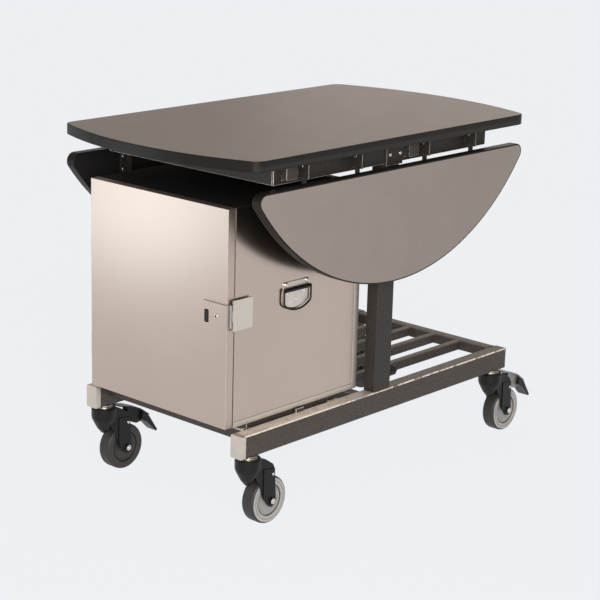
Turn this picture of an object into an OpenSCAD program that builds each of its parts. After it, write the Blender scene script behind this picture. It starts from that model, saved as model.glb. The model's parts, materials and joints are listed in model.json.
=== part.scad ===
// Rolling room service table: fixed middle top, two hanging leaves, tube frame on
// swivel casters, slatted rack and a stainless hot box under one end.
// +X runs along the table away from the hot box door, the near side is -Y, +Z is up.
// The origin is on the floor, under the centre of the whole object's box.

/* [Table top] */
// Height of the top surface above the floor
top_z = 760; // [700:1:820]
// Length of the middle top over its curved ends
top_len = 956; // [860:1:1060]
// Width of the middle top
top_w = 550; // [500:1:620]
// How far the curved ends bulge past the corners
top_bulge = 56; // [40:1:80]
// Thickness of the boards
board_t = 22; // [18:1:28]
// Thickness of the edge band
band_t = 3; // [2:0.5:5]
// Radius of the rounded corners of the top
corner_r = 28; // [15:1:40]
// Radius of the rounded corners of the leaves
leaf_corner_r = 18; // [12:1:30]
// Radius of the round table that the raised leaves complete
round_r = 515; // [480:1:560]
// Shift of the top along X from the middle of the base
top_shift = -32; // [-60:1:0]

/* [Leaf hinges] */
// Depth of the leaf pivot below the top surface, and inward from the top's edge
pivot_inset = 31; // [29:0.5:34]
// Gap between a raised leaf and the top
leaf_gap = 1.5; // [1:0.5:3]
// Distances of the hinges from the middle of the top
hinge_inner_x = 108; // [105:1:125]
// Distance of the outer hinges from the middle of the top
hinge_outer_x = 267; // [255:1:270]
// Thickness of the hinge lugs and arms
hinge_t = 3; // [2:0.5:4]
// Radius of the hinge pins
hinge_pin_r = 2.5; // [2:0.1:3]
// Radius of the eye at the end of an arm
arm_eye_r = 6; // [5:0.5:6.5]
// How far a lug reaches past its pin
lug_past = 18; // [14:1:22]
// Height of a hinge lug
lug_h = 33; // [30:0.5:34]
// Length of an arm below the pivot
arm_len = 90; // [70:1:120]
// Width of the foot of an arm on the leaf
arm_foot_w = 24; // [16:1:30]
// Thickness of the foot of an arm
arm_foot_t = 2.5; // [2:0.5:4]
// Width of the arm blade
arm_blade_w = 11; // [9:0.5:11.5]

/* [Support bars] */
// Outer size of the square support bars
bar_size = 32; // [26:1:34]
// Wall of the support bars
bar_wall = 2; // [1.5:0.5:3]
// Length of a support bar
bar_len = 400; // [360:1:430]
// Travel of a support bar
bar_travel = 200; // [150:1:220]
// Distance of the outer bar from the middle of the top
bar_outer_x = 298; // [294:1:304]
// Distance of the inner bar from the middle of the top
bar_inner_x = 76; // [74:1:84]
// Running gap around a bar
bar_gap = 0.5; // [0.3:0.1:1]
// Sheet of the guide straps
guide_t = 3; // [2:0.5:4]
// Width of the guide straps along the bar
guide_w = 20; // [12:1:30]
// Width of the flanges that fix a guide strap under the top
guide_flange = 16; // [12:1:18]
// Thickness of the face of a bar's end plug
plug_t = 2; // [1:0.5:3]

/* [Upper frame] */
// Height of the aprons
apron_h = 41; // [36:1:46]
// Sheet of the aprons
apron_t = 4; // [3:0.5:5]
// Width of the apron's top flange
apron_flange = 25; // [18:1:30]
// Length of the aprons
apron_len = 676; // [660:2:700]
// Sheet of the apron's top flange
flange_t = 3; // [2:0.5:4]
// Sheet of the head plates
head_t = 4; // [3:0.5:5]
// Height of the head plates
head_h = 45; // [40:1:60]

/* [Base frame] */
// Length of the base over its end caps
base_len = 878; // [820:2:960]
// How far the top stands past the rails on each side
top_overhang = 46; // [42:1:50]
// Height of the rail tops above the floor
rail_top_z = 203; // [196:1:215]
// Height of a rail
rail_h = 48; // [40:1:50]
// Width of a rail
rail_w = 31; // [28:1:34]
// Wall of the rails, posts and cross tubes
tube_wall = 2; // [1.5:0.5:3]
// Corner radius of the tubes
tube_r = 3; // [2.5:0.5:4]
// Thickness of a rail end cap
cap_t = 3; // [2:0.5:5]
// Length of a cap's plug inside the rail
cap_plug = 14; // [8:1:20]
// Size of the square cross tubes
cross_size = 25; // [20:1:28]
// Distance of the left cross tube's left face from the base's left end
cross_left_in = 34; // [30:1:60]
// Width of a slat
slat_w = 15; // [12:1:20]
// Height of a slat
slat_h = 22; // [16:1:22]
// Spacing of the slats
slat_pitch = 75; // [65:1:78]
// Number of slats
slat_count = 4; // [3:1:5]
// Width of a post along X
post_w = 52; // [44:1:60]
// Shift of the posts along X from the middle of the base
post_shift = -9.5; // [-12:0.5:-2]

/* [Clamp knobs] */
// Radius of a knob
knob_r = 12.5; // [10:0.5:15]
// Length of a knob's grip
knob_len = 24; // [18:1:30]
// Height of a knob above the rail
knob_up = 32; // [25:1:50]
// Radius of a knob's stud
stud_r = 4; // [3:0.5:5]

/* [Casters] */
// Diameter of the wheels
wheel_d = 100; // [90:1:104]
// Width of the tyre
tyre_w = 32; // [28:1:36]
// Thickness of the tyre
tyre_t = 16; // [10:1:20]
// Distance of the axle behind the swivel axis
trail = 48; // [46:1:52]
// Distance of the swivel axis from the base's end
caster_in = 35; // [30:1:50]
// Height of the swivel head's top below the rail
head_gap = 5; // [4:1:8]
// Height of the swivel bearing inside the hood
swivel_h = 12; // [10:1:14]
// Radius of the housing round the swivel axis
hood_r = 27; // [25:0.5:28]
// Distance of the hood's end from the swivel axis
hood_end = 56; // [55:0.5:58]
// Thickness of the fork's cheeks
cheek_t = 4; // [3:0.5:5]
// Gap between the wheel's hub and the cheeks
hub_gap = 1; // [0.5:0.5:2]
// Radius of the axle bolt
axle_r = 4; // [3:0.5:5]
// Radius of the swivel stem
stem_r = 5.5; // [5:0.5:7]
// Reach of the brake pedal's tip from the swivel axis
pedal_reach = 142; // [136:1:150]

/* [Hot box] */
// Length of the hot box with its door
box_len = 394; // [360:1:400]
// Gap between the hot box and the rails on each side
box_side_gap = 2; // [1:0.5:8]
// Height of the hot box without its feet
box_h = 444; // [420:1:460]
// How far the door's face stands past the base's left end
box_overhang = 14.5; // [8:0.5:24]
// Height of the feet
foot_h = 10; // [8:1:12]
// Radius of the feet
foot_r = 11; // [9:0.5:12]
// Sheet of the hot box
sheet_t = 1.2; // [0.8:0.1:2]
// Thickness of the insulation
insulation_t = 18; // [12:1:24]
// Thickness of the door
door_t = 20; // [16:1:24]
// Thickness of the door's gasket
gasket_t = 1.7; // [1:0.1:3]
// Width of the door's gasket
gasket_w = 12; // [8:1:16]
// Height of the base pan's upstand
pan_flange = 10; // [8:1:14]
// Width of the back panel's flange on the sides
back_flange = 15; // [10:1:20]
// Heights of the two wire shelves above the liner's floor
shelf_low_up = 130; // [100:1:150]
// Height of the upper wire shelf above the liner's floor
shelf_high_up = 265; // [240:1:300]
// Height of the fuel tray
tray_h = 24; // [16:1:30]
// Number of wires across a shelf
wire_count = 11; // [7:1:15]

/* [Latch and handles] */
// Height of the latch's middle above the floor
latch_z = 445; // [400:1:480]
// Height of the plate on the door
latch_plate_h = 46; // [40:1:56]
// Width of the plate on the door
latch_plate_w = 62; // [50:1:70]
// Height of the flap
flap_h = 62; // [58:1:70]
// Length of the flap
flap_len = 55; // [45:1:65]
// Thickness of the latch's sheet
latch_t = 3; // [2:0.5:3]
// Height of the bail's pivot above the floor
bail_z = 468; // [440:1:500]
// Width of a bail between the middles of its arms
bail_w = 84; // [76:1:100]
// Drop of a bail from its pivot to the middle of its grip
bail_drop = 43; // [36:1:50]
// Length of a bail's arms from the pivot to the bends
bail_arm = 24; // [16:1:26]
// Half the thickness of a bail's bar, and the radius of its round top bar
bail_r = 2; // [1.5:0.5:3]
// Thickness of a handle's plate
handle_plate_t = 2; // [1:0.5:3]

/* [Hidden] */

// Small values that several pieces share
fine = 64;
coarse = 32;
fit = 0.05;
seat = 0.3;

// The whole object's box decides where the base stands along X
caster_rel_x = base_len / 2 - caster_in;
base_x = -(caster_rel_x + pedal_reach + top_shift - top_len / 2) / 2;
top_x = base_x + top_shift;
base_x0 = base_x - base_len / 2;
base_x1 = base_x + base_len / 2;

// Top and leaves
top_under = top_z - board_t;
end_r = (pow(top_bulge, 2) + pow(top_w / 2, 2)) / (2 * top_bulge);
end_c = top_len / 2 - end_r;
pivot_y = top_w / 2 - pivot_inset;
pivot_z = top_z - pivot_inset;
leaf_edge = top_w / 2 + leaf_gap;
leaf_top_z = pivot_z - (leaf_edge - pivot_y);
hinge_xs = [-hinge_outer_x, -hinge_inner_x, hinge_inner_x, hinge_outer_x];

// Base
base_w = top_w - 2 * top_overhang;
rail_z0 = rail_top_z - rail_h;
rail_y = base_w / 2 - rail_w / 2;
rail_in = base_w / 2 - rail_w;
cross_left_x = base_x0 + cross_left_in;
cross_right_x = base_x1 - cap_t - cross_size;
post_x = base_x + post_shift;
caster_xs = [base_x - caster_rel_x, base_x + caster_rel_x];

// Upper frame, set against the posts
apron_y = base_w / 2;
apron_z0 = top_under - apron_h;
apron_out = apron_y + apron_t;
head_out = apron_out + head_t;
bar_top = top_under - bar_gap;
bar_z = bar_top - bar_size / 2;
bar_face_y = pivot_y + 1;
bar_xs = [-bar_outer_x, bar_inner_x];

// Hot box
box_x0 = base_x0 - box_overhang;
box_x1 = box_x0 + box_len;
box_y = rail_in - box_side_gap;
box_z0 = rail_top_z + foot_h;
box_z1 = box_z0 + box_h;
door_x1 = box_x0 + door_t;
case_x0 = door_x1 + gasket_t + seat;
liner_gap = sheet_t + insulation_t;
liner_y = box_y - liner_gap;
liner_z0 = box_z0 + liner_gap;
liner_z1 = box_z1 - liner_gap;
liner_x1 = box_x1 - liner_gap;
cavity_y = liner_y - sheet_t;
cavity_z0 = liner_z0 + sheet_t;
cavity_z1 = liner_z1 - sheet_t;
cavity_x1 = liner_x1 - sheet_t;
box_mid_x = (box_x0 + box_x1) / 2;

// Rolling gear
wheel_r = wheel_d / 2;
hub_half = tyre_w / 2 + 1;
cheek_in = hub_half + hub_gap;
cheek_out = cheek_in + cheek_t;
fork_top = rail_z0 - head_gap;
brake_pivot = [trail + 2, wheel_r + 57];
brake_pin_r = 2;

// ---------------------------------------------------------------- helpers

// Rounded rectangle about the origin
module round_rect(w, h, r) {
    square([w - 2 * r, h], center = true);
    square([w, h - 2 * r], center = true);
    for (sx = [-1, 1]) {
        for (sy = [-1, 1]) {
            translate([sx * (w / 2 - r), sy * (h / 2 - r)]) circle(r = r, $fn = coarse);
        }
    }
}

// Section of a rectangular tube
module tube_section(w, h, wall, r) {
    difference() {
        round_rect(w, h, r);
        square([w - 2 * wall, h - 2 * wall], center = true);
    }
}

// Tube along X from the origin: w across Y, h across Z
module tube_x(len, w, h, wall, r) {
    rotate([90, 0, 90]) linear_extrude(len) tube_section(w, h, wall, r);
}

// Tube along Y about the origin: w across X, h across Z
module tube_y(len, w, h, wall, r) {
    rotate([90, 0, 0]) linear_extrude(len, center = true) tube_section(w, h, wall, r);
}

// Box between two corners
module block(a, b) {
    translate(a) cube(b - a);
}

// Rod along X, Y or Z about a point
module rod_x(p, r, len) {
    translate(p) rotate([0, 90, 0]) cylinder(r = r, h = len, center = true, $fn = fine);
}

module rod_y(p, r, len) {
    translate(p) rotate([90, 0, 0]) cylinder(r = r, h = len, center = true, $fn = fine);
}

module rod_z(p, r, len) {
    translate(p) cylinder(r = r, h = len, center = true, $fn = fine);
}

// The same thing on the far side, turned half round about the top's middle
module far_side() {
    translate([top_x, 0, 0]) rotate([0, 0, 180]) translate([-top_x, 0, 0]) children();
}

// ---------------------------------------------------------------- top and leaves

// Outline of the middle top, drawn inside the real edge by the inset
module top_outline(inset) {
    r = corner_r - inset;
    er = end_r - inset;
    hw = top_w / 2 - inset;
    kx = end_c + sqrt(pow(er - r, 2) - pow(hw - r, 2));
    ty = (hw - r) * er / (er - r);
    square([2 * kx, 2 * hw], center = true);
    intersection() {
        translate([end_c, 0]) circle(r = er, $fn = 4 * fine);
        translate([-end_c, 0]) circle(r = er, $fn = 4 * fine);
        square([top_len, 2 * ty], center = true);
    }
    for (sx = [-1, 1]) {
        for (sy = [-1, 1]) {
            translate([sx * kx, sy * (hw - r)]) circle(r = r, $fn = fine);
        }
    }
}

// Outline of the near leaf as it lies when raised, about the top's middle
module leaf_outline(inset) {
    r = leaf_corner_r - inset;
    lr = round_r - inset;
    e = leaf_edge + inset;
    kx = sqrt(pow(lr - r, 2) - pow(e + r, 2));
    ty = (e + r) * lr / (lr - r);
    intersection() {
        circle(r = lr, $fn = 4 * fine);
        union() {
            translate([-kx, -round_r]) square([2 * kx, round_r - e]);
            translate([-round_r, -round_r]) square([2 * round_r, round_r - ty]);
        }
    }
    for (sx = [-1, 1]) {
        translate([sx * kx, -(e + r)]) circle(r = r, $fn = fine);
    }
}

// Carries a raised near leaf down to where it hangs
module hang_near() {
    translate([top_x, -pivot_y, pivot_z]) rotate([90, 0, 0]) translate([0, pivot_y, -pivot_z]) children();
}

module leaf_panel() {
    hang_near() translate([0, 0, top_under]) linear_extrude(board_t) leaf_outline(band_t);
}

module leaf_band() {
    hang_near() translate([0, 0, top_under]) linear_extrude(board_t) difference() {
        leaf_outline(0);
        leaf_outline(band_t);
    }
}

module top_panel() {
    color([0.56, 0.52, 0.50]) translate([top_x, 0, top_under]) linear_extrude(board_t) top_outline(band_t);
}

module top_edge_band() {
    color([0.17, 0.16, 0.15]) translate([top_x, 0, top_under]) linear_extrude(board_t) difference() {
        top_outline(0);
        top_outline(band_t);
    }
}

module leaf_near_panel() {
    color([0.58, 0.54, 0.52]) leaf_panel();
}

module leaf_near_edge_band() {
    color([0.17, 0.16, 0.15]) leaf_band();
}

module leaf_far_panel() {
    color([0.58, 0.54, 0.52]) far_side() leaf_panel();
}

module leaf_far_edge_band() {
    color([0.17, 0.16, 0.15]) far_side() leaf_band();
}

// ---------------------------------------------------------------- leaf hinges

// A lug stands on the apron's face, with its arm beside it towards +X
lug_y = pivot_y + lug_past;
pin_head_t = 1.8;

// The leaf's underside while it hangs
under_y = pivot_y + (pivot_inset - board_t);

module near_lugs() {
    for (x = hinge_xs) {
        difference() {
            block([top_x + x - hinge_t, -lug_y, top_under - seat - lug_h], [top_x + x, -apron_out, top_under - seat]);
            rod_x([top_x + x, -pivot_y, pivot_z], hinge_pin_r + fit, 4 * hinge_t);
        }
    }
}

module near_pins() {
    for (x = hinge_xs) {
        rod_x([top_x + x + seat, -pivot_y, pivot_z], hinge_pin_r, 2 * hinge_t + 3);
        rod_x([top_x + x - hinge_t - seat - pin_head_t / 2, -pivot_y, pivot_z], hinge_pin_r + 1.5, pin_head_t);
    }
}

// The arm hugs the leaf's underside, and stays under the top when it is raised
module near_arms() {
    foot_z = leaf_top_z - 4;
    blade_out = under_y - 1.2;
    for (x = hinge_xs) {
        ax = top_x + x + seat;
        difference() {
            union() {
                rod_x([ax + hinge_t / 2, -pivot_y, pivot_z], arm_eye_r, hinge_t);
                block([ax, -blade_out, pivot_z - arm_len], [ax + hinge_t, -(blade_out - arm_blade_w), pivot_z]);
                block([ax, -under_y, pivot_z - arm_len], [ax + hinge_t, -(under_y - 4), foot_z]);
                block([ax, -under_y, pivot_z - arm_len], [ax + arm_foot_w, -(under_y - arm_foot_t), foot_z]);
            }
            rod_x([ax, -pivot_y, pivot_z], hinge_pin_r + fit, 4 * hinge_t);
        }
    }
}

module hinge_lugs() {
    color([0.30, 0.28, 0.26]) union() {
        near_lugs();
        far_side() near_lugs();
    }
}

module hinge_pins() {
    color([0.70, 0.69, 0.66]) union() {
        near_pins();
        far_side() near_pins();
    }
}

module hinge_arms_near() {
    color([0.22, 0.21, 0.20]) near_arms();
}

module hinge_arms_far() {
    color([0.22, 0.21, 0.20]) far_side() near_arms();
}

// ---------------------------------------------------------------- upper frame

// Angle along the near side, notched where the support bars pass
module apron() {
    difference() {
        union() {
            block([top_x - apron_len / 2, -apron_out, apron_z0], [top_x + apron_len / 2, -apron_y, top_under]);
            block([top_x - apron_len / 2, -apron_out, top_under - flange_t],
                [top_x + apron_len / 2, -(apron_y - apron_flange), top_under]);
        }
        for (x = bar_xs) {
            hw = bar_size / 2 + 2 * bar_gap;
            block([top_x + x - hw, -apron_out - 1, bar_top - bar_size - bar_gap],
                [top_x + x + hw, -(apron_y - apron_flange) + 1, top_under + 1]);
        }
    }
}

module apron_near() {
    color([0.29, 0.27, 0.25]) apron();
}

module apron_far() {
    color([0.29, 0.27, 0.25]) far_side() apron();
}

module frame_end_rails() {
    half = apron_y;
    color([0.29, 0.27, 0.25]) for (s = [-1, 1]) {
        x = top_x + s * (apron_len / 2 - flange_t);
        block([min(x, x + s * flange_t), -half, apron_z0], [max(x, x + s * flange_t), half, top_under - flange_t]);
    }
}

// U strap under the top round a bar, with a flange on each side
module guide(x, y) {
    hw = bar_size / 2 + bar_gap;
    z0 = bar_top - bar_size - bar_gap - guide_t;
    difference() {
        union() {
            block([x - hw - guide_t, y - guide_w / 2, z0], [x + hw + guide_t, y + guide_w / 2, top_under]);
            block([x - hw - guide_flange, y - guide_w / 2, top_under - guide_t],
                [x + hw + guide_flange, y + guide_w / 2, top_under]);
        }
        block([x - hw, y - guide_w, z0 + guide_t], [x + hw, y + guide_w, top_under + 1]);
    }
}

guide_pitch = 110;
guide_ys = [-(apron_y - apron_flange - guide_w), -(apron_y - apron_flange - guide_w) + guide_pitch];

module near_guides() {
    for (x = bar_xs) {
        for (y = guide_ys) {
            guide(top_x + x, y);
        }
    }
}

module bar_guides() {
    color([0.24, 0.23, 0.22]) union() {
        near_guides();
        far_side() near_guides();
    }
}

// Square bar with a plug in its outer end, both pushed in
module bar(x) {
    translate([top_x + x, -bar_face_y + plug_t + bar_len / 2, bar_z])
        tube_y(bar_len, bar_size, bar_size, bar_wall, tube_r);
    translate([top_x + x, -bar_face_y + plug_t / 2, bar_z]) rotate([90, 0, 0])
        linear_extrude(plug_t, center = true) round_rect(bar_size, bar_size, tube_r);
}

module support_bar_near_outer() {
    color([0.27, 0.25, 0.23]) bar(bar_xs[0]);
}

module support_bar_near_inner() {
    color([0.27, 0.25, 0.23]) bar(bar_xs[1]);
}

module support_bar_far_outer() {
    color([0.27, 0.25, 0.23]) far_side() bar(bar_xs[0]);
}

module support_bar_far_inner() {
    color([0.27, 0.25, 0.23]) far_side() bar(bar_xs[1]);
}

// ---------------------------------------------------------------- posts and knobs

post_top = top_under - flange_t;

// s is -1 on the near side and 1 on the far side
module post(s) {
    difference() {
        translate([post_x, s * rail_y, rail_top_z])
            linear_extrude(post_top - rail_top_z) tube_section(post_w, rail_w, tube_wall, tube_r);
        rod_x([post_x + post_w / 2, s * rail_y, rail_top_z + knob_up], stud_r + fit, 4 * tube_wall);
    }
}

module post_near() {
    color([0.29, 0.27, 0.25]) post(-1);
}

module post_far() {
    color([0.29, 0.27, 0.25]) post(1);
}

module post_head_plates() {
    color([0.31, 0.29, 0.27]) for (s = [-1, 1]) {
        block([post_x - post_w / 2, min(s * apron_out, s * head_out), top_under - seat - head_h],
            [post_x + post_w / 2, max(s * apron_out, s * head_out), top_under - seat]);
    }
}

module clamp_knob(s) {
    z = rail_top_z + knob_up;
    x = post_x + post_w / 2;
    rod_x([x + seat + 2, s * rail_y, z], 0.62 * knob_r, 4);
    rod_x([x + seat + 4 + knob_len / 2, s * rail_y, z], knob_r, knob_len);
    rod_x([x - 4, s * rail_y, z], stud_r, 14);
}

module clamp_knob_near() {
    color([0.12, 0.12, 0.12]) clamp_knob(-1);
}

module clamp_knob_far() {
    color([0.12, 0.12, 0.12]) clamp_knob(1);
}

// ---------------------------------------------------------------- base frame

module rail(s) {
    difference() {
        translate([base_x0 + cap_t, s * rail_y, rail_z0 + rail_h / 2])
            tube_x(base_len - 2 * cap_t, rail_w, rail_h, tube_wall, tube_r);
        for (x = caster_xs) {
            rod_z([x, s * rail_y, rail_z0], stem_r + 2 * fit, 4 * tube_wall);
        }
    }
}

module rail_near() {
    color([0.29, 0.27, 0.25]) rail(-1);
}

module rail_far() {
    color([0.29, 0.27, 0.25]) rail(1);
}

module rail_end_caps() {
    inner_w = rail_w - 2 * tube_wall - 2 * fit;
    inner_h = rail_h - 2 * tube_wall - 2 * fit;
    color([0.78, 0.76, 0.72]) for (s = [-1, 1]) {
        for (e = [-1, 1]) {
            x = base_x + e * (base_len / 2);
            translate([x, s * rail_y, rail_z0 + rail_h / 2]) rotate([90, 0, 90]) {
                translate([0, 0, e > 0 ? -cap_t : 0]) linear_extrude(cap_t) round_rect(rail_w, rail_h, tube_r);
                translate([0, 0, e > 0 ? -cap_t - cap_plug : 0])
                    linear_extrude(cap_t + cap_plug) square([inner_w, inner_h], center = true);
            }
        }
    }
}

module cross_tubes() {
    z = rail_top_z - cross_size / 2;
    color([0.27, 0.25, 0.23]) {
        translate([cross_left_x + cross_size / 2, 0, z]) tube_y(2 * rail_in, cross_size, cross_size, tube_wall, tube_r);
        translate([cross_right_x + cross_size / 2, 0, z]) tube_y(2 * rail_in, cross_size, cross_size, tube_wall, tube_r);
        translate([post_x, 0, rail_top_z - slat_h - cross_size / 2])
            tube_y(2 * rail_in, cross_size, cross_size, tube_wall, tube_r);
    }
}

module rack_slats() {
    x0 = cross_left_x + cross_size;
    color([0.27, 0.25, 0.23]) for (i = [0 : slat_count - 1]) {
        translate([x0, (i - (slat_count - 1) / 2) * slat_pitch, rail_top_z - slat_h / 2])
            tube_x(cross_right_x - x0, slat_w, slat_h, tube_wall, 2.5);
    }
}

// Angles on the rails that carry the box's inner feet, and tabs that stop it sliding sideways
foot_y = box_y - foot_r - 4;
support_x = box_x1 - 72;
support_w = 30;
support_d = rail_in - foot_y + foot_r + 6;
support_h = 20;
support_t = 3;
tab_w = 24;
tab_x = box_mid_x + 2;

module near_box_supports() {
    block([support_x - support_w / 2, -rail_in, rail_top_z - support_t],
        [support_x + support_w / 2, -(rail_in - support_d), rail_top_z]);
    block([support_x - support_w / 2, -rail_in, rail_top_z - support_h],
        [support_x + support_w / 2, -(rail_in - support_t), rail_top_z]);
    block([tab_x, -(rail_in + tube_r + support_t), rail_top_z], [tab_x + tab_w, -(rail_in + tube_r), box_z0 - 1]);
}

module box_supports() {
    color([0.27, 0.25, 0.23]) {
        near_box_supports();
        mirror([0, 1, 0]) near_box_supports();
    }
}

// ---------------------------------------------------------------- casters

// Each caster trails towards +X from its stem
module at_caster(e, s) {
    translate([base_x + e * caster_rel_x, s * rail_y, 0]) children();
}

nut_h = 6;
washer_r = 13;

module caster_stems() {
    low = fork_top - 2 * swivel_h;
    nut_z = rail_z0 + tube_wall + seat;
    washer_h = rail_z0 - fork_top - seat;
    color([0.76, 0.75, 0.72]) for (e = [-1, 1]) {
        for (s = [-1, 1]) {
            at_caster(e, s) {
                rod_z([0, 0, (low + nut_z + nut_h) / 2], stem_r, nut_z + nut_h - low);
                rod_z([0, 0, rail_z0 - washer_h / 2], washer_r, washer_h);
                rod_z([0, 0, nut_z + nut_h / 2], 10, nut_h);
            }
        }
    }
}

// Extrudes a side view to a width about the caster's middle plane
module across(w) {
    translate([0, w / 2, 0]) rotate([90, 0, 0]) linear_extrude(w) children();
}

// Height of the housing's lower end, and thickness of the hood's side walls
hood_low = wheel_r + 41;
wall_t = 2;
leg_x = 24.4;
tip_r = 12.5;

// Round housing of the swivel bearing, drawn in below
module housing(r) {
    rotate_extrude($fn = 2 * fine) polygon([[0, hood_low], [r - 21, hood_low], [r - 12, hood_low + 11],
        [r - 5, hood_low + 24], [r - 1.2, hood_low + 32], [r, hood_low + 38], [r, fork_top - 4],
        [r - 3, fork_top], [0, fork_top]]);
}

// Side view of the hood, from the housing round to the wheel's axle
module hood_shape() {
    polygon([[0, fork_top], [0, hood_low + 28], [5, hood_low + 14], [14, hood_low], [leg_x, wheel_r + 10],
        [trail, wheel_r], [hood_end, wheel_r + 42],
        [hood_end, fork_top - 30], [hood_end - 4, fork_top - 22], [30, fork_top - 7], [10, fork_top]]);
}

// Side view of a leg, down to the axle
module leg_shape() {
    polygon([[leg_x, fork_top - 28], [leg_x, wheel_r + 10], [trail - tip_r + 2, wheel_r - 7],
        [trail + tip_r, wheel_r], [hood_end + 1, wheel_r + 42], [hood_end, fork_top - 32]]);
    translate([trail, wheel_r]) circle(r = tip_r, $fn = fine);
}

// The space inside the hood, open towards the wheel
module hood_space() {
    polygon([[-hood_r + cheek_t, fork_top - swivel_h - 2], [-hood_r + cheek_t, 0], [2 * hood_end, 0],
        [2 * hood_end, fork_top - 34], [hood_end - 3, fork_top - 34], [hood_end - 7, fork_top - 28],
        [28, fork_top - swivel_h - 2]]);
}

// Hood and two legs that hold the axle bolt, with the bright pin through them
module fork() {
    difference() {
        union() {
            difference() {
                union() {
                    housing(hood_r);
                    across(2 * (cheek_in + wall_t)) hood_shape();
                    across(2 * cheek_out) leg_shape();
                }
                intersection() {
                    across(2 * cheek_in) hood_space();
                    union() {
                        housing(hood_r - cheek_t);
                        block([0, -cheek_in, 0], [2 * hood_end, cheek_in, fork_top]);
                    }
                }
                rod_y([trail, 0, wheel_r], wheel_r + 3, 2 * cheek_in);
            }
            rod_z([0, 0, fork_top - swivel_h], stem_r + 5, 2 * swivel_h);
        }
        rod_z([0, 0, fork_top - swivel_h], stem_r + fit, 4 * swivel_h);
        rod_y([trail, 0, wheel_r], axle_r + fit, 4 * cheek_out);
        rod_y([brake_pivot[0], 0, brake_pivot[1]], brake_pin_r + fit, 4 * cheek_out);
    }
    rod_y([trail, 0, wheel_r], axle_r, 2 * cheek_out);
    for (s = [-1, 1]) {
        rod_y([trail, s * (cheek_out + nut_h / 4), wheel_r], axle_r + 3, nut_h / 2);
    }
    rod_y([brake_pivot[0], 0, brake_pivot[1]], brake_pin_r, 2 * cheek_out + 3);
}

// Rounding of the tyre's shoulders
tread_r = 4;

// Moulded wheel: hub with a bore, and a tyre round it
module wheel() {
    difference() {
        union() {
            rod_y([trail, 0, wheel_r], wheel_r - tyre_t, tyre_w - 6);
            rod_y([trail, 0, wheel_r], 11, 2 * hub_half);
        }
        rod_y([trail, 0, wheel_r], axle_r + fit, 2 * tyre_w);
    }
    translate([trail, 0, wheel_r]) rotate([90, 0, 0]) rotate_extrude($fn = 2 * fine) {
        translate([wheel_r - tyre_t, -tyre_w / 2]) square([tyre_t - tread_r, tyre_w]);
        translate([wheel_r - tyre_t, -tyre_w / 2 + tread_r]) square([tyre_t, tyre_w - 2 * tread_r]);
        for (s = [-1, 1]) {
            translate([wheel_r - tread_r, s * (tyre_w / 2 - tread_r)]) circle(r = tread_r, $fn = coarse);
        }
    }
}

// Pedal: a plate over the hood, a web with its shoe above the tyre, and a foot wedge
module brake_pedal() {
    px = brake_pivot[0];
    pz = brake_pivot[1];
    eye_r = 4;
    plate_w = 28;
    plate = [[32, wheel_r + 93.8], [64, wheel_r + 85], [92, wheel_r + 73.5], [118, wheel_r + 55],
        [120, wheel_r + 57], [93.5, wheel_r + 76.3], [64.8, wheel_r + 87.8], [32, wheel_r + 96.6]];
    web = [[px - eye_r, pz - 2], [px + 8, pz - 4.2], [px + 16, pz - 5.5], [px + 28, pz - 11], [px + 36, pz - 14.2],
        [98, wheel_r + 44], [108, wheel_r + 49], [118, wheel_r + 55.2], [92, wheel_r + 74], [66, wheel_r + 85],
        [61, wheel_r + 84], [hood_end + 3, wheel_r + 68], [px + 4, pz + 6.5], [px - eye_r, pz + 3]];
    wedge = [[100, wheel_r + 66.5], [117.5, wheel_r + 54.5], [pedal_reach, wheel_r + 17],
        [pedal_reach - 2, wheel_r + 13], [112, wheel_r + 41], [96, wheel_r + 50]];
    difference() {
        union() {
            across(plate_w) polygon(plate);
            across(plate_w - 12) polygon(web);
            across(plate_w + 2) polygon(wedge);
            rod_y([px, 0, pz], eye_r, 2 * (cheek_in - 1));
        }
        rod_y([px, 0, pz], brake_pin_r + fit, 4 * cheek_in);
    }
}

module caster_fork_fl() {
    color([0.14, 0.14, 0.14]) at_caster(-1, -1) fork();
}

module caster_fork_fr() {
    color([0.14, 0.14, 0.14]) at_caster(1, -1) fork();
}

module caster_fork_bl() {
    color([0.14, 0.14, 0.14]) at_caster(-1, 1) fork();
}

module caster_fork_br() {
    color([0.14, 0.14, 0.14]) at_caster(1, 1) fork();
}

module caster_wheel_fl() {
    color([0.62, 0.61, 0.60]) at_caster(-1, -1) wheel();
}

module caster_wheel_fr() {
    color([0.62, 0.61, 0.60]) at_caster(1, -1) wheel();
}

module caster_wheel_bl() {
    color([0.62, 0.61, 0.60]) at_caster(-1, 1) wheel();
}

module caster_wheel_br() {
    color([0.62, 0.61, 0.60]) at_caster(1, 1) wheel();
}

module brake_pedal_fr() {
    color([0.35, 0.35, 0.34]) at_caster(1, -1) brake_pedal();
}

module brake_pedal_bl() {
    color([0.35, 0.35, 0.34]) at_caster(-1, 1) brake_pedal();
}

// ---------------------------------------------------------------- hot box body

module box_wrapper() {
    back = box_x1 - sheet_t;
    color([0.80, 0.76, 0.72]) difference() {
        block([case_x0, -box_y, box_z0 + sheet_t], [back, box_y, box_z1]);
        block([case_x0 - 1, -box_y + sheet_t, box_z0], [back + 1, box_y - sheet_t, box_z1 - sheet_t]);
    }
}

module box_back_panel() {
    color([0.78, 0.74, 0.70]) difference() {
        block([box_x1 - back_flange, -box_y - sheet_t, box_z0 + sheet_t + pan_flange],
            [box_x1, box_y + sheet_t, box_z1 + sheet_t]);
        block([box_x1 - back_flange - 1, -box_y, box_z0], [box_x1 - sheet_t, box_y, box_z1]);
    }
}

module box_base_pan() {
    color([0.84, 0.81, 0.77]) difference() {
        block([case_x0, -box_y - sheet_t, box_z0], [box_x1, box_y + sheet_t, box_z0 + sheet_t + pan_flange]);
        block([case_x0 - 1, -box_y, box_z0 + sheet_t], [box_x1 - sheet_t, box_y, box_z1]);
    }
}

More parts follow.
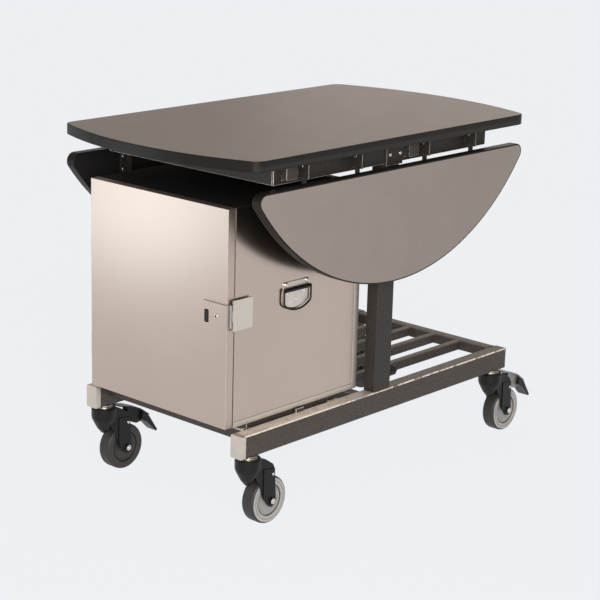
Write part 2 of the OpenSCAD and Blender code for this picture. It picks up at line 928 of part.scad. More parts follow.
module box_insulation() {
    color([0.85, 0.80, 0.55]) difference() {
        block([case_x0 + sheet_t, -box_y + sheet_t, box_z0 + sheet_t], [box_x1 - sheet_t, box_y - sheet_t, box_z1 - sheet_t]);
        block([case_x0, -liner_y, liner_z0], [liner_x1, liner_y, liner_z1]);
    }
}

module box_liner() {
    color([0.74, 0.73, 0.71]) difference() {
        union() {
            block([case_x0, -liner_y, liner_z0], [liner_x1, liner_y, liner_z1]);
            block([case_x0, -box_y + sheet_t, box_z0 + sheet_t], [case_x0 + sheet_t, box_y - sheet_t, box_z1 - sheet_t]);
        }
        block([case_x0 - 1, -cavity_y, cavity_z0], [cavity_x1, cavity_y, cavity_z1]);
    }
}

foot_left_x = cross_left_x + cross_size / 2;

module box_feet() {
    color([0.11, 0.11, 0.11]) for (x = [foot_left_x, support_x]) {
        for (s = [-1, 1]) {
            rod_z([x, s * foot_y, rail_top_z + foot_h / 2], foot_r, foot_h);
        }
    }
}

// ---------------------------------------------------------------- inside the hot box

ledge = 12;
runner_x0 = case_x0 + 12;
runner_x1 = cavity_x1 - 8;
shelf_r = 3;
wire_r = 1.5;
shelf_zs = [cavity_z0 + shelf_low_up, cavity_z0 + shelf_high_up];

module shelf_runners() {
    t = 1.5;
    color([0.70, 0.69, 0.67]) for (z = shelf_zs) {
        for (s = [-1, 1]) {
            y = s * cavity_y;
            block([runner_x0, min(y, y - s * ledge), z - t], [runner_x1, max(y, y - s * ledge), z]);
            block([runner_x0, min(y, y - s * t), z - ledge], [runner_x1, max(y, y - s * t), z]);
        }
    }
}

// Rod frame with wires across, resting on the runners
module wire_shelf(z) {
    zc = z + shelf_r;
    y = cavity_y - 4;
    x0 = runner_x0 + 4;
    x1 = runner_x1 - 4;
    for (s = [-1, 1]) {
        rod_x([(x0 + x1) / 2, s * (y - shelf_r), zc], shelf_r, x1 - x0);
    }
    for (x = [x0 + shelf_r, x1 - shelf_r]) {
        rod_y([x, 0, zc], shelf_r, 2 * y);
    }
    step = (x1 - x0) / (wire_count + 1);
    for (i = [1 : wire_count]) {
        rod_y([x0 + i * step, 0, zc + wire_r], wire_r, 2 * (y - shelf_r));
    }
}

module wire_shelves() {
    color([0.82, 0.82, 0.82]) for (z = shelf_zs) {
        wire_shelf(z);
    }
}

module fuel_tray() {
    x0 = case_x0 + 20;
    x1 = cavity_x1 - 20;
    y = cavity_y - 22;
    color([0.72, 0.71, 0.69]) difference() {
        block([x0, -y, cavity_z0], [x1, y, cavity_z0 + tray_h]);
        block([x0 + 1.5, -y + 1.5, cavity_z0 + 1.5], [x1 - 1.5, y - 1.5, cavity_z0 + tray_h + 1]);
    }
}

// ---------------------------------------------------------------- door

module door_skin() {
    color([0.90, 0.87, 0.83]) difference() {
        block([box_x0, -box_y, box_z0 + 1], [door_x1, box_y, box_z1]);
        block([box_x0 + sheet_t, -box_y + sheet_t, box_z0 + 1 + sheet_t], [door_x1 + 1, box_y - sheet_t, box_z1 - sheet_t]);
    }
}

module door_inner_panel() {
    m = sheet_t;
    color([0.74, 0.73, 0.71]) block([door_x1 - 4, -box_y + m, box_z0 + 1 + m], [door_x1, box_y - m, box_z1 - m]);
}

module door_gasket() {
    in = 4;
    color([0.10, 0.10, 0.10]) difference() {
        block([door_x1, -box_y + in, box_z0 + 1 + in], [door_x1 + gasket_t, box_y - in, box_z1 - in]);
        block([door_x1 - 1, -box_y + in + gasket_w, box_z0 + 1 + in + gasket_w],
            [door_x1 + gasket_t + 1, box_y - in - gasket_w, box_z1 - in - gasket_w]);
    }
}

// Lift-off hinges on the far side: the pin stands in the box's knuckle
knuckle_r = 5;
door_pin_r = 3;
half_knuckle = 28;
leaf_plate_t = 2.5;
leaf_plate_w = 26;
door_axis = [(door_x1 + case_x0) / 2, box_y + knuckle_r + 2];
door_hinge_zs = [box_z0 + 60, box_z1 - 60 - 2 * half_knuckle];

module box_hinge_leaves() {
    ax = door_axis[0];
    ay = door_axis[1];
    color([0.75, 0.74, 0.72]) for (z = door_hinge_zs) {
        rod_z([ax, ay, z + half_knuckle / 2], knuckle_r, half_knuckle);
        rod_z([ax, ay, z + half_knuckle], door_pin_r, 2 * half_knuckle);
        block([case_x0, box_y, z], [case_x0 + leaf_plate_t, ay, z + half_knuckle]);
        difference() {
            block([case_x0, box_y, z], [case_x0 + leaf_plate_w, box_y + leaf_plate_t, z + 2 * half_knuckle]);
            rod_z([ax, ay, z + 2 * half_knuckle], knuckle_r + seat, 2 * half_knuckle);
        }
    }
}

module door_hinge_leaves() {
    ax = door_axis[0];
    ay = door_axis[1];
    color([0.75, 0.74, 0.72]) for (z = door_hinge_zs) {
        z0 = z + half_knuckle + seat;
        z1 = z + 2 * half_knuckle;
        difference() {
            union() {
                rod_z([ax, ay, (z0 + z1) / 2], knuckle_r, z1 - z0);
                block([door_x1 - leaf_plate_t, box_y, z0], [door_x1, ay, z1]);
                block([box_x0 + 2, box_y, z], [door_x1, box_y + leaf_plate_t, z1]);
            }
            rod_z([ax, ay, (z0 + z1) / 2], door_pin_r + fit, 2 * (z1 - z0));
            rod_z([ax, ay, z], knuckle_r + seat, 2 * (half_knuckle + seat));
        }
    }
}

// ---------------------------------------------------------------- latch

// The plate wraps the door's near corner and carries the flap's pin
flap_pin_r = 1.5;
flap_knuckle_r = 3.4;
flap_axis = [box_x0 + 6.5, -(box_y + 4.5)];
latch_z0 = latch_z - latch_plate_h / 2;
latch_z1 = latch_z + latch_plate_h / 2;
knuckle_h = latch_plate_h / 4;

module latch_plate() {
    ax = flap_axis[0];
    ay = flap_axis[1];
    color([0.86, 0.83, 0.79]) {
        difference() {
            union() {
                block([box_x0 - latch_t, -box_y - latch_t, latch_z0], [box_x0, -box_y + latch_plate_w, latch_z1]);
                block([box_x0 - latch_t, -box_y - latch_t, latch_z0], [ax - 1, -box_y, latch_z1]);
                for (z = [latch_z0, latch_z1 - knuckle_h]) {
                    rod_z([ax, ay, z + knuckle_h / 2], flap_knuckle_r, knuckle_h);
                }
            }
            rod_z([ax, ay, latch_z], flap_knuckle_r + seat, latch_plate_h - 2 * knuckle_h);
            rod_z([ax, ay, latch_z], flap_pin_r + fit, 2 * latch_plate_h);
        }
        rod_z([ax, ay, latch_z], flap_pin_r, latch_plate_h + 2);
    }
}

module latch_flap() {
    ax = flap_axis[0];
    ay = flap_axis[1];
    kh = latch_plate_h - 2 * knuckle_h - 2 * seat;
    fx0 = ax + flap_knuckle_r + seat;
    fy = ay + 0.5;
    color([0.88, 0.85, 0.81]) difference() {
        union() {
            rod_z([ax, ay, latch_z], flap_knuckle_r, kh);
            block([ax, fy - latch_t, latch_z - kh / 2], [fx0 + 1, fy, latch_z + kh / 2]);
            block([fx0, fy - latch_t, latch_z - flap_h / 2], [fx0 + flap_len, fy, latch_z + flap_h / 2]);
        }
        rod_z([ax, ay, latch_z], flap_pin_r + fit, 2 * latch_plate_h);
    }
}

module latch_keeper() {
    x = case_x0 + 12;
    color([0.75, 0.74, 0.72]) block([x, flap_axis[1] + 0.5 + seat, latch_z - 10], [x + 15, -box_y, latch_z + 10]);
}

// ---------------------------------------------------------------- chest handles

barrel_r = bail_r + 2;
bail_y = box_y + handle_plate_t + barrel_r - 0.5;
barrel_len = bail_w - 2 * bail_r - 4;
plate_up = 16;
plate_in = bail_r + 1.5;

// A bail is a ring of square bar in the shape of a D: two arms, two bends and a grip curved to a larger radius
bend_r = 10;
bend_x = bail_w / 2 - bend_r;
sag = bail_drop - bail_arm;
grip_r = (pow(bend_x, 2) + pow(sag, 2) - pow(bend_r, 2)) / (2 * (sag - bend_r));
grip_c = grip_r - bail_drop;
grip_a = asin(bend_x / (grip_r - bend_r));

// Points on an arc about a centre, from one angle to another, leaving some out at each end
function arc_points(centre, r, from, to, steps, skip) = [for (i = [skip : steps - skip])
    centre + r * [cos(from + (to - from) * i / steps), sin(from + (to - from) * i / steps)]];

// The D drawn inside the middle line of the ring by the inset, up to a height above the pivot
module d_outline(inset, up) {
    w = bail_w / 2 - inset;
    br = bend_r - inset;
    polygon(concat([[w, up]], arc_points([bend_x, -bail_arm], br, 360, 270 + grip_a, 6, 0),
        arc_points([0, grip_c], grip_r - inset, 270 + grip_a, 270 - grip_a, 16, 1),
        arc_points([-bend_x, -bail_arm], br, 270 - grip_a, 180, 6, 0), [[-w, up]]));
}

// Near plate with its rolled barrel
module bail_plate() {
    difference() {
        union() {
            translate([box_mid_x, -box_y, bail_z]) rotate([90, 0, 0]) linear_extrude(handle_plate_t) {
                d_outline(plate_in, plate_up / 2);
                translate([0, plate_up / 2]) round_rect(bail_w - 2 * plate_in, plate_up, 4);
            }
            rod_x([box_mid_x, -bail_y, bail_z], barrel_r, barrel_len);
        }
        rod_x([box_mid_x, -bail_y, bail_z], bail_r + fit, 2 * barrel_len);
    }
}

// Near bail: a closed ring whose round top bar turns in the barrel
module bail() {
    translate([box_mid_x, bail_r - bail_y, bail_z]) rotate([90, 0, 0]) linear_extrude(2 * bail_r) difference() {
        d_outline(-bail_r, bail_r);
        d_outline(bail_r, 2 * bail_r);
    }
    rod_x([box_mid_x, -bail_y, bail_z], bail_r, bail_w);
}

// The hot box has a plane of symmetry between its two handles
module box_far_side() {
    mirror([0, 1, 0]) children();
}

module bail_plates() {
    color([0.55, 0.53, 0.50]) {
        bail_plate();
        box_far_side() bail_plate();
    }
}

module bail_near() {
    color([0.20, 0.19, 0.18]) bail();
}

module bail_far() {
    color([0.20, 0.19, 0.18]) box_far_side() bail();
}

top_panel();
top_edge_band();
leaf_near_panel();
leaf_near_edge_band();
leaf_far_panel();
leaf_far_edge_band();
hinge_lugs();
hinge_pins();
hinge_arms_near();
hinge_arms_far();
apron_near();
apron_far();
frame_end_rails();
bar_guides();
support_bar_near_outer();
support_bar_near_inner();
support_bar_far_outer();
support_bar_far_inner();
post_near();
post_far();
post_head_plates();
clamp_knob_near();
clamp_knob_far();
rail_near();
rail_far();
rail_end_caps();
cross_tubes();
rack_slats();
box_supports();
caster_stems();
caster_fork_fl();
caster_fork_fr();
caster_fork_bl();
caster_fork_br();
caster_wheel_fl();
caster_wheel_fr();
caster_wheel_bl();
caster_wheel_br();
brake_pedal_fr();
brake_pedal_bl();
box_wrapper();
box_back_panel();
box_base_pan();
box_insulation();
box_liner();
box_feet();
shelf_runners();
wire_shelves();
fuel_tray();
door_skin();
door_inner_panel();
door_gasket();
door_hinge_leaves();
box_hinge_leaves();
latch_plate();
latch_flap();
latch_keeper();
bail_plates();
bail_near();
bail_far();
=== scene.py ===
"""Rolling room service table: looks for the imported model."""

import json
import math

import bmesh
import bpy
from bpy.props import FloatProperty, FloatVectorProperty, IntProperty, PointerProperty
from mathutils import Matrix, Vector
from mathutils.bvhtree import BVHTree


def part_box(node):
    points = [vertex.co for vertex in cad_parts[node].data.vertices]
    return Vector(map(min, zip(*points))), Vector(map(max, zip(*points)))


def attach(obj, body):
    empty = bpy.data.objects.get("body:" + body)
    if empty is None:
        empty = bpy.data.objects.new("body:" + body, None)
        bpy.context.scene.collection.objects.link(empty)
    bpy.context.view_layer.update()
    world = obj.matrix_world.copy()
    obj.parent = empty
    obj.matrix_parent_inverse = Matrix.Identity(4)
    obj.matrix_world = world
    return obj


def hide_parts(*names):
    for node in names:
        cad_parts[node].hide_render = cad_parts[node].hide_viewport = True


bl_info = {
    "name": "Room service table",
    "version": (1, 0, 0),
    "blender": (4, 5, 0),
    "location": "View3D > Sidebar > Room Table",
    "description": "Dresses a rolling room service table with hanging leaves and a hot box",
    "category": "Add Mesh",
}

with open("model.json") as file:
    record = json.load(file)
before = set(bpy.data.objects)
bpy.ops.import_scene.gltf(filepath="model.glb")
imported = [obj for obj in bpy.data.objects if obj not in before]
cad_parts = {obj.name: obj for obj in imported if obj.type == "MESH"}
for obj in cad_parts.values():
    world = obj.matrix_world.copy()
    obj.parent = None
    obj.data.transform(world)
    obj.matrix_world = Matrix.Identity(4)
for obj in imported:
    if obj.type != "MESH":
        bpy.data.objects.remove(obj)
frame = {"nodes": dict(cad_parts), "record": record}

NODES = frame["nodes"]
BODY_OF = {node: body for body, names in frame["record"]["behaviour"]["bodies"].items() for node in names}
SLOT_OF = {part["node"]: part["material_slot"] for part in frame["record"]["subparts"]}
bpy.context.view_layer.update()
MM = 0.001
AXES = {"X": Vector((1, 0, 0)), "Y": Vector((0, 1, 0)), "Z": Vector((0, 0, 1))}
CORNERS = ("fl", "fr", "bl", "br")
SAME_PLACE = 0.005 * MM
FLAT = math.radians(0.1)
SHARP = math.radians(30)
FINISHES = {}


def srgb(r, g, b):
    """Linear colour of an 8 bit screen colour whose channels are over 10"""
    return tuple(((c / 255 + 0.055) / 1.055) ** 2.4 for c in (r, g, b))


# ---------------------------------------------------------------- settings


def tint(name, text, colour):
    """A colour that the user can change"""
    return FloatVectorProperty(
        name=name, description=text, subtype="COLOR", size=3, min=0, max=1, default=colour)


def length(name, text, value):
    """A length that the user can change"""
    return FloatProperty(name=name, description=text, default=value, min=0, unit="LENGTH")


def count(name, text, value, least, most):
    """A number of steps or shapes that the user can change"""
    return IntProperty(name=name, description=text, default=value, min=least, max=most)


def strength(name, text, value, **more):
    """The strength of a light that the user can change"""
    return FloatProperty(name=name, description=text, default=value, min=0, **more)


class RoomTableColours(bpy.types.PropertyGroup):
    """Colours of the table's finishes"""

    laminate: tint("Laminate", "Top and leaves", srgb(120, 110, 103))
    band: tint("Edge band", "Edges of the top and leaves", srgb(24, 21, 18))
    paint: tint("Hammertone", "Paint on the tubes and brackets", srgb(62, 56, 51))
    bare: tint("Worn edge", "Metal that shows where the paint has worn", srgb(226, 212, 200))
    steel: tint("Stainless steel", "Skin of the hot box", srgb(195, 178, 166))
    zinc: tint("Zinc", "Bolts, washers and caps", srgb(214, 208, 196))
    plastic: tint("Black plastic", "Caster housings and knobs", srgb(19, 18, 18))
    tyre: tint("Tyre", "Side of the tyres", srgb(152, 149, 145))
    tread: tint("Tread", "Running face of the tyres", srgb(44, 41, 39))
    wool: tint("Insulation", "Mineral wool in the hot box", srgb(196, 178, 120))


class RoomTableSizes(bpy.types.PropertyGroup):
    """Sizes of the details that are added to the solids"""

    band_round: length("Band rounding", "Rounding of the edge band", 1.6 * MM)
    tube_round: length("Tube rounding", "Rounding of the cut ends of tubes", 0.5 * MM)
    plate_round: length("Plate rounding", "Rounding of plates and brackets", 0.6 * MM)
    fold_round: length("Fold radius", "Radius of the folded sheet", 2.2 * MM)
    screw_r: length("Screw radius", "Radius of the pan head screws", 4.0 * MM)
    bead_r: length("Weld radius", "Radius of the weld beads", 1.7 * MM)
    knob_lobes: count("Knob lobes", "Grip scallops round a knob", 8, 5, 16)
    wheel_steps: count("Wheel steps", "Steps round a wheel", 72, 24, 128)


class RoomTableStage(bpy.types.PropertyGroup):
    """Floor, lights and camera"""

    floor: tint("Floor", "Colour of the floor and backdrop", srgb(238, 240, 244))
    sky: tint("Sky tint", "Colour of the soft surrounding light", srgb(242, 232, 220))
    world: strength("Sky", "Strength of the soft surrounding light", 0.55)
    key: strength("Key light", "Strength of the main light", 2.6)
    near: strength("Near light", "Power of the left light", 22, unit="POWER")
    glow: strength("Floor glow", "Share of the floor's tone that shadows leave", 0.96, max=1)
    card: strength("Door card", "Power of the card the door mirrors", 0.85, unit="POWER")
    sheen: strength("Top card", "Power of the card the top mirrors", 4.5, unit="POWER")
    focal: FloatProperty(
        name="Focal length", description="Lens in millimetres on a 36 mm sensor", default=106.6, min=20)


# ---------------------------------------------------------------- finishes


class Finish:
    """A material under construction"""

    MIX_A, MIX_B, MIX_RESULT = 6, 7, 2

    def __init__(self, name, colour, roughness, metallic=0.0, **sockets):
        self.mat = bpy.data.materials.new(name)
        self.mat.use_nodes = True
        self.mat.diffuse_color = (*colour, 1)
        self.tree = self.mat.node_tree
        self.bsdf = self.tree.nodes["Principled BSDF"]
        self.bsdf.inputs["Base Color"].default_value = (*colour, 1)
        self.bsdf.inputs["Roughness"].default_value = roughness
        self.bsdf.inputs["Metallic"].default_value = metallic
        for key, value in sockets.items():
            self.bsdf.inputs[key.replace("_", " ")].default_value = value
        self.place = self.tree.nodes.new("ShaderNodeTexCoord").outputs["Object"]

    def node(self, kind, inputs, **attrs):
        """Adds a shader node, and links or sets its inputs"""
        made = self.tree.nodes.new(kind)
        for key, value in attrs.items():
            setattr(made, key, value)
        for key, value in inputs.items():
            if isinstance(value, bpy.types.NodeSocket):
                self.tree.links.new(value, made.inputs[key])
            else:
                made.inputs[key].default_value = value
        return made

    def stretched(self, scale):
        """Object coordinates scaled along each axis"""
        return self.node("ShaderNodeMapping", {"Vector": self.place, "Scale": scale}).outputs["Vector"]

    def noise(self, scale, detail=3.0, rough=0.55, vector=None):
        inputs = {"Vector": vector or self.place, "Scale": scale, "Detail": detail, "Roughness": rough}
        return self.node("ShaderNodeTexNoise", inputs).outputs["Fac"]

    def cells(self, scale):
        inputs = {"Vector": self.place, "Scale": scale}
        return self.node("ShaderNodeTexVoronoi", inputs, feature="SMOOTH_F1").outputs["Distance"]

    def spread(self, fac, low, high, to_low=0.0, to_high=1.0):
        """Maps a range of a factor to another, clamped"""
        inputs = {"Value": fac, "From Min": low, "From Max": high, "To Min": to_low, "To Max": to_high}
        return self.node("ShaderNodeMapRange", inputs, clamp=True).outputs["Result"]

    def maths(self, operation, a, b):
        return self.node("ShaderNodeMath", {0: a, 1: b}, operation=operation).outputs[0]

    def times(self, a, b):
        return self.maths("MULTIPLY", a, b)

    def blend(self, fac, a, b):
        """Mixes two colours, each a tuple or a socket"""
        a, b = ((*c, 1) if isinstance(c, tuple) else c for c in (a, b))
        mix = self.node("ShaderNodeMix", {0: fac, self.MIX_A: a, self.MIX_B: b}, data_type="RGBA")
        return mix.outputs[self.MIX_RESULT]

    def attribute(self, name):
        return self.node("ShaderNodeAttribute", {}, attribute_name=name).outputs["Fac"]

    def axis(self, letter):
        return self.node("ShaderNodeSeparateXYZ", {"Vector": self.place}).outputs[letter]

    def colour(self, socket):
        self.tree.links.new(socket, self.bsdf.inputs["Base Color"])

    def rough(self, socket):
        self.tree.links.new(socket, self.bsdf.inputs["Roughness"])

    def metal(self, socket):
        self.tree.links.new(socket, self.bsdf.inputs["Metallic"])

    def relief(self, height, strength, distance):
        """Bump of a height, as deep as distance in metres"""
        bump = self.node("ShaderNodeBump", {"Strength": strength, "Distance": distance, "Height": height})
        self.tree.links.new(bump.outputs["Normal"], self.bsdf.inputs["Normal"])


def shade(colour, factor):
    """A colour made darker or lighter"""
    return tuple(min(1.0, c * factor) for c in colour)


def laminate_finish(c):
    """Matt laminate with fine speckles and faint patches"""
    f = Finish("laminate", c.laminate, 0.42)
    speckle = f.noise(620, 3, 0.6)
    patch = f.noise(16, 3, 0.5)
    mottle = f.maths("ADD", f.times(speckle, 0.75), f.times(patch, 0.25))
    f.colour(f.blend(f.spread(mottle, 0.38, 0.62), shade(c.laminate, 0.93), shade(c.laminate, 1.07)))
    f.rough(f.spread(patch, 0.3, 0.7, 0.42, 0.46))
    f.relief(speckle, 0.05, 0.3 * MM)
    return f.mat


def band_finish(c):
    """Dark edge band with a painted highlight low on the top's near edge"""
    f = Finish("edge_band", c.band, 0.42, Specular_IOR_Level=0.14)
    grain = f.noise(240, 4, 0.6)
    tone = f.blend(f.spread(grain, 0.3, 0.7), shade(c.band, 0.85), shade(c.band, 1.15))
    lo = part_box("top_edge_band")[0]
    full, fading, gone = lo.z + 5 * MM, lo.z + 9 * MM, lo.z + 13 * MM
    inward, outward = lo.y + 8 * MM, lo.y + 2 * MM
    height = f.axis("Z")
    # A lighter strip low on the near edge is a painted highlight, where its rounding would catch the light
    edge_highlight = f.times(f.spread(height, lo.z, full), f.spread(height, gone, fading))
    edge_highlight = f.times(edge_highlight, f.spread(f.axis("Y"), inward, outward))
    f.colour(f.blend(f.times(edge_highlight, 0.5), tone, shade(c.band, 3.0)))
    scuff = f.spread(f.noise(16, 4, 0.6), 0.56, 0.72)
    f.rough(f.spread(scuff, 0, 1, 0.38, 0.55))
    f.relief(grain, 0.08, 0.4 * MM)
    return f.mat


def backer_finish():
    """Painted shade: a dull dark sheet on the boards' undersides and on the hot box's roof, where shade falls
    """
    f = Finish("backer", srgb(24, 23, 22), 0.6, Specular_IOR_Level=0.15)
    f.colour(f.blend(f.spread(f.noise(300, 3, 0.6), 0.3, 0.7), srgb(20, 19, 19), srgb(28, 27, 26)))
    return f.mat


def hammertone_finish(c, name, paint):
    """Dimpled paint, bare metal at chipped edges, and paler on upward faces, the more so towards the door"""
    f = Finish(name, paint, 0.5, 0.1, Specular_IOR_Level=0.3)
    dimples = f.cells(300)
    fleck = f.noise(700, 2, 0.6)
    tone = f.blend(f.spread(dimples, 0.12, 0.55), shade(paint, 1.25), shade(paint, 0.78))
    tone = f.blend(f.spread(fleck, 0.6, 0.75), tone, shade(paint, 1.7))
    wear_and_highlight = f.attribute("wear_and_highlight")
    edge = f.times(f.spread(wear_and_highlight, 0.6, 0.9), f.spread(f.noise(90, 5, 0.65), 0.36, 0.52))
    paler_from, palest_at = 20 * MM, -200 * MM
    along = f.spread(f.axis("X"), paler_from, palest_at, 0.12, 0.85)
    # Upward faces and roundings turn paler, more so towards the door's end
    face = f.times(f.spread(wear_and_highlight, 0, 0.5), f.spread(f.noise(60, 6, 0.7), 0.3, 0.5, 0.55, 1))
    worn = f.maths("MAXIMUM", edge, f.times(face, along))
    f.colour(f.blend(worn, tone, tuple(c.bare)))
    f.metal(f.spread(worn, 0, 1, 0.1, 0.25))
    f.rough(f.spread(dimples, 0.1, 0.6, 0.42, 0.56))
    f.relief(dimples, 0.3, 0.5 * MM)
    return f.mat


def metal_finish(name, colour, roughness, stains):
    """Plain metal with faint scratches, and stains of a noise scale"""
    f = Finish(name, colour, roughness, 1.0)
    stain = f.noise(stains, 4, 0.6)
    scratch = f.noise(60, 3, 0.7, f.stretched((9, 9, 1)))
    f.colour(f.blend(f.spread(stain, 0.3, 0.7), shade(colour, 0.88), shade(colour, 1.06)))
    f.rough(f.spread(scratch, 0.3, 0.7, roughness * 0.75, roughness * 1.4))
    f.relief(scratch, 0.05, 0.3 * MM)
    return f.mat


def brushed_finish(name, colour, roughness, grain):
    """Sheet steel brushed along one direction, where the grain's scale is small"""
    f = Finish(name, colour, roughness, 1.0)
    lines = f.noise(1.0, 4, 0.75, f.stretched(grain))
    cloud = f.noise(7, 4, 0.55)
    tone = f.maths("ADD", f.times(lines, 0.45), f.times(cloud, 0.55))
    f.colour(f.blend(f.spread(tone, 0.35, 0.65), shade(colour, 0.97), shade(colour, 1.02)))
    f.rough(f.spread(tone, 0.3, 0.7, roughness * 0.94, roughness * 1.08))
    f.relief(lines, 0.02, 0.2 * MM)
    return f.mat


def plastic_finish(c):
    """Moulded plastic, dusty, and paler where the wear_and_highlight layer is set: a painted highlight on the
    forks' creases, rubbed edges on the black pedal
    """
    f = Finish("black_plastic", c.plastic, 0.42, Specular_IOR_Level=0.22)
    skin = f.noise(700, 3, 0.6)
    dust = f.spread(f.noise(30, 5, 0.65), 0.5, 0.8)
    tone = f.blend(dust, shade(c.plastic, 0.85), shade(c.plastic, 1.5))
    # Painted highlight on the forks' creases, and rubbing on the black pedal's edges
    rub_and_highlight = f.times(f.attribute("wear_and_highlight"), f.spread(f.noise(60, 4, 0.6), 0.35, 0.6))
    f.colour(f.blend(rub_and_highlight, tone, shade(c.plastic, 6)))
    f.rough(f.spread(dust, 0, 1, 0.36, 0.6))
    f.relief(skin, 0.12, 0.3 * MM)
    return f.mat


def tyre_finish(c, name, side):
    """Moulded tyre, darker by its tread attribute, which also holds painted shade in the groove and at the
    inner rim, and dirty in places
    """
    f = Finish(name, side, 0.55, Specular_IOR_Level=0.35)
    zone = f.attribute("tread")
    dirt = f.spread(f.noise(60, 5, 0.65), 0.45, 0.75)
    clean = f.blend(zone, tuple(side), tuple(c.tread))
    f.colour(f.blend(f.times(dirt, 0.22), clean, shade(c.tread, 0.8)))
    f.rough(f.spread(dirt, 0, 1, 0.48, 0.7))
    f.relief(f.noise(500, 3, 0.6), 0.1, 0.3 * MM)
    return f.mat


def rubber_finish():
    """Soft black rubber with dusty patches"""
    f = Finish("black_rubber", srgb(32, 31, 30), 0.65)
    f.relief(f.noise(800, 3, 0.6), 0.2, 0.3 * MM)
    f.colour(f.blend(f.spread(f.noise(60), 0.35, 0.7), srgb(24, 23, 23), srgb(52, 50, 48)))
    return f.mat


def wool_finish(c):
    """Mineral wool with fibres along X"""
    f = Finish("mineral_wool", c.wool, 0.95)
    fibre = f.noise(1.0, 6, 0.8, f.stretched((140, 900, 300)))
    f.colour(f.blend(f.spread(fibre, 0.3, 0.7), shade(c.wool, 0.6), shade(c.wool, 1.2)))
    f.relief(fibre, 0.8, 2 * MM)
    return f.mat


def make_finishes(c):
    """Every material of the pieces: those of the record's slots, and their variants"""
    FINISHES.update(
        laminate=laminate_finish(c),
        edge_band=band_finish(c),
        backer=backer_finish(),
        black_plastic=plastic_finish(c),
        mineral_wool=wool_finish(c),
        black_rubber=rubber_finish(),
    )
    # A copy of the hammertone darkened to 0.55 is painted shade, for the frame under the top, the posts, the
    # strips under the box and the right caps
    for name, paint in (("hammertone", tuple(c.paint)), ("shaded_paint", shade(c.paint, 0.55))):
        FINISHES[name] = hammertone_finish(c, name, paint)
    for name, side in (("grey_tyre", tuple(c.tyre)), ("dark_tyre", shade(c.tread, 1.1))):
        FINISHES[name] = tyre_finish(c, name, side)
    for name, colour, roughness, stains in (
            ("bright_zinc", tuple(c.zinc), 0.28, 120),
            ("dull_zinc", srgb(210, 201, 190), 0.5, 14),
            ("grey_metal", srgb(150, 148, 144), 0.42, 120),
            ("bright_wire", srgb(222, 222, 220), 0.16, 120),
            ("handle_steel", srgb(214, 206, 196), 0.36, 60),
            ("handle_rod", srgb(58, 54, 50), 0.45, 60)):
        FINISHES[name] = metal_finish(name, colour, roughness, stains)
    for name, colour, roughness, grain in (
            ("stainless", tuple(c.steel), 0.21, (700, 700, 5)),
            ("door_steel", tuple(c.steel), 0.38, (700, 700, 5)),
            ("polished", srgb(214, 205, 192), 0.3, (5, 700, 700)),
            ("liner_steel", shade(c.steel, 0.9), 0.36, (6, 700, 700))):
        FINISHES[name] = brushed_finish(name, colour, roughness, grain)


# ---------------------------------------------------------------- shapes


def merged(node):
    """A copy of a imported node's mesh with its triangles joined into faces"""
    bm = bmesh.new()
    bm.from_mesh(NODES[node].data)
    bmesh.ops.remove_doubles(bm, verts=bm.verts, dist=SAME_PLACE)
    bmesh.ops.dissolve_limit(bm, angle_limit=FLAT, verts=bm.verts, edges=bm.edges)
    return bm


def sharp_edges(bm):
    return [e for e in bm.edges if len(e.link_faces) == 2 and e.calc_face_angle(0) > SHARP]


def rounded(bm, edges, width, segments):
    """Rounds edges, and returns the new faces"""
    made = bmesh.ops.bevel(bm, geom=edges, offset=width, offset_type="OFFSET", segments=segments, profile=0.5,
                           affect="EDGES", clamp_overlap=True, material=-1)
    return made["faces"]


def wear_and_highlight_layer(bm):
    """The faces' own layer of wear_and_highlight, from 0 to 1: worn faces, and painted highlights on the
    forks
    """
    return bm.faces.layers.float.get("wear_and_highlight") or bm.faces.layers.float.new("wear_and_highlight")


def soften(bm, width, segments=2, edges=None):
    """Rounds edges, and marks the new faces as the first to be worn"""
    wear_and_highlight = wear_and_highlight_layer(bm)
    for face in rounded(bm, sharp_edges(bm) if edges is None else edges, width, segments):
        face[wear_and_highlight] = 1


def mark_faces(bm, where, value):
    """Marks the faces that a test picks as worn, or as a painted highlight"""
    wear_and_highlight = wear_and_highlight_layer(bm)
    for face in bm.faces:
        if where(face):
            face[wear_and_highlight] = value


def everywhere(_face):
    """Picks all faces"""
    return True


def corner_edge(face, lean=0.25):
    """Whether a face is the rounding of an upright edge on the left, near or far"""
    return face.normal.x < -lean and abs(face.normal.y) > lean


def finished(bm, name, body, slot, smooth=35, second=None, where=None, finish=None):
    """Turns a bmesh into a piece that rides on a body; a test picks the faces of a second finish"""
    if where:
        for face in bm.faces:
            face.material_index = int(where(face))
    mesh = bpy.data.meshes.new(name)
    bm.to_mesh(mesh)
    bm.free()
    mesh.materials.append(FINISHES[finish or slot])
    if second:
        mesh.materials.append(FINISHES[second])
    mesh.shade_smooth()
    mesh.set_sharp_from_angle(angle=math.radians(smooth))
    piece = bpy.data.objects.new(name, mesh)
    bpy.context.scene.collection.objects.link(piece)
    even = piece.modifiers.new("even_normals", "WEIGHTED_NORMAL")
    even.mode = "FACE_AREA"
    even.keep_sharp = True
    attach(piece, body)
    return piece


def dressed(node, width, segments=2, edges=None, slot=None, worn=(), **more):
    """A node's own shape with softened edges, in place of the node

    edges picks the edges of the bmesh, and worn holds pairs of a face test and a level of the
    wear_and_highlight layer, which the forks use for a painted highlight.
    """
    bm = merged(node)
    soften(bm, width, segments, edges(bm) if edges else None)
    for where, value in worn:
        mark_faces(bm, where, value)
    piece = finished(bm, node + "_look", BODY_OF[node], slot or SLOT_OF[node], **more)
    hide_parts(node)
    return piece


def pointing(axis):
    """Unit vector of an axis, given as a letter with an optional minus"""
    return AXES[axis[-1]] * (-1 if axis[0] == "-" else 1)


def sideways(s):
    """The axis that points to the far side, or to the near side where s is negative"""
    return "Y" if s > 0 else "-Y"


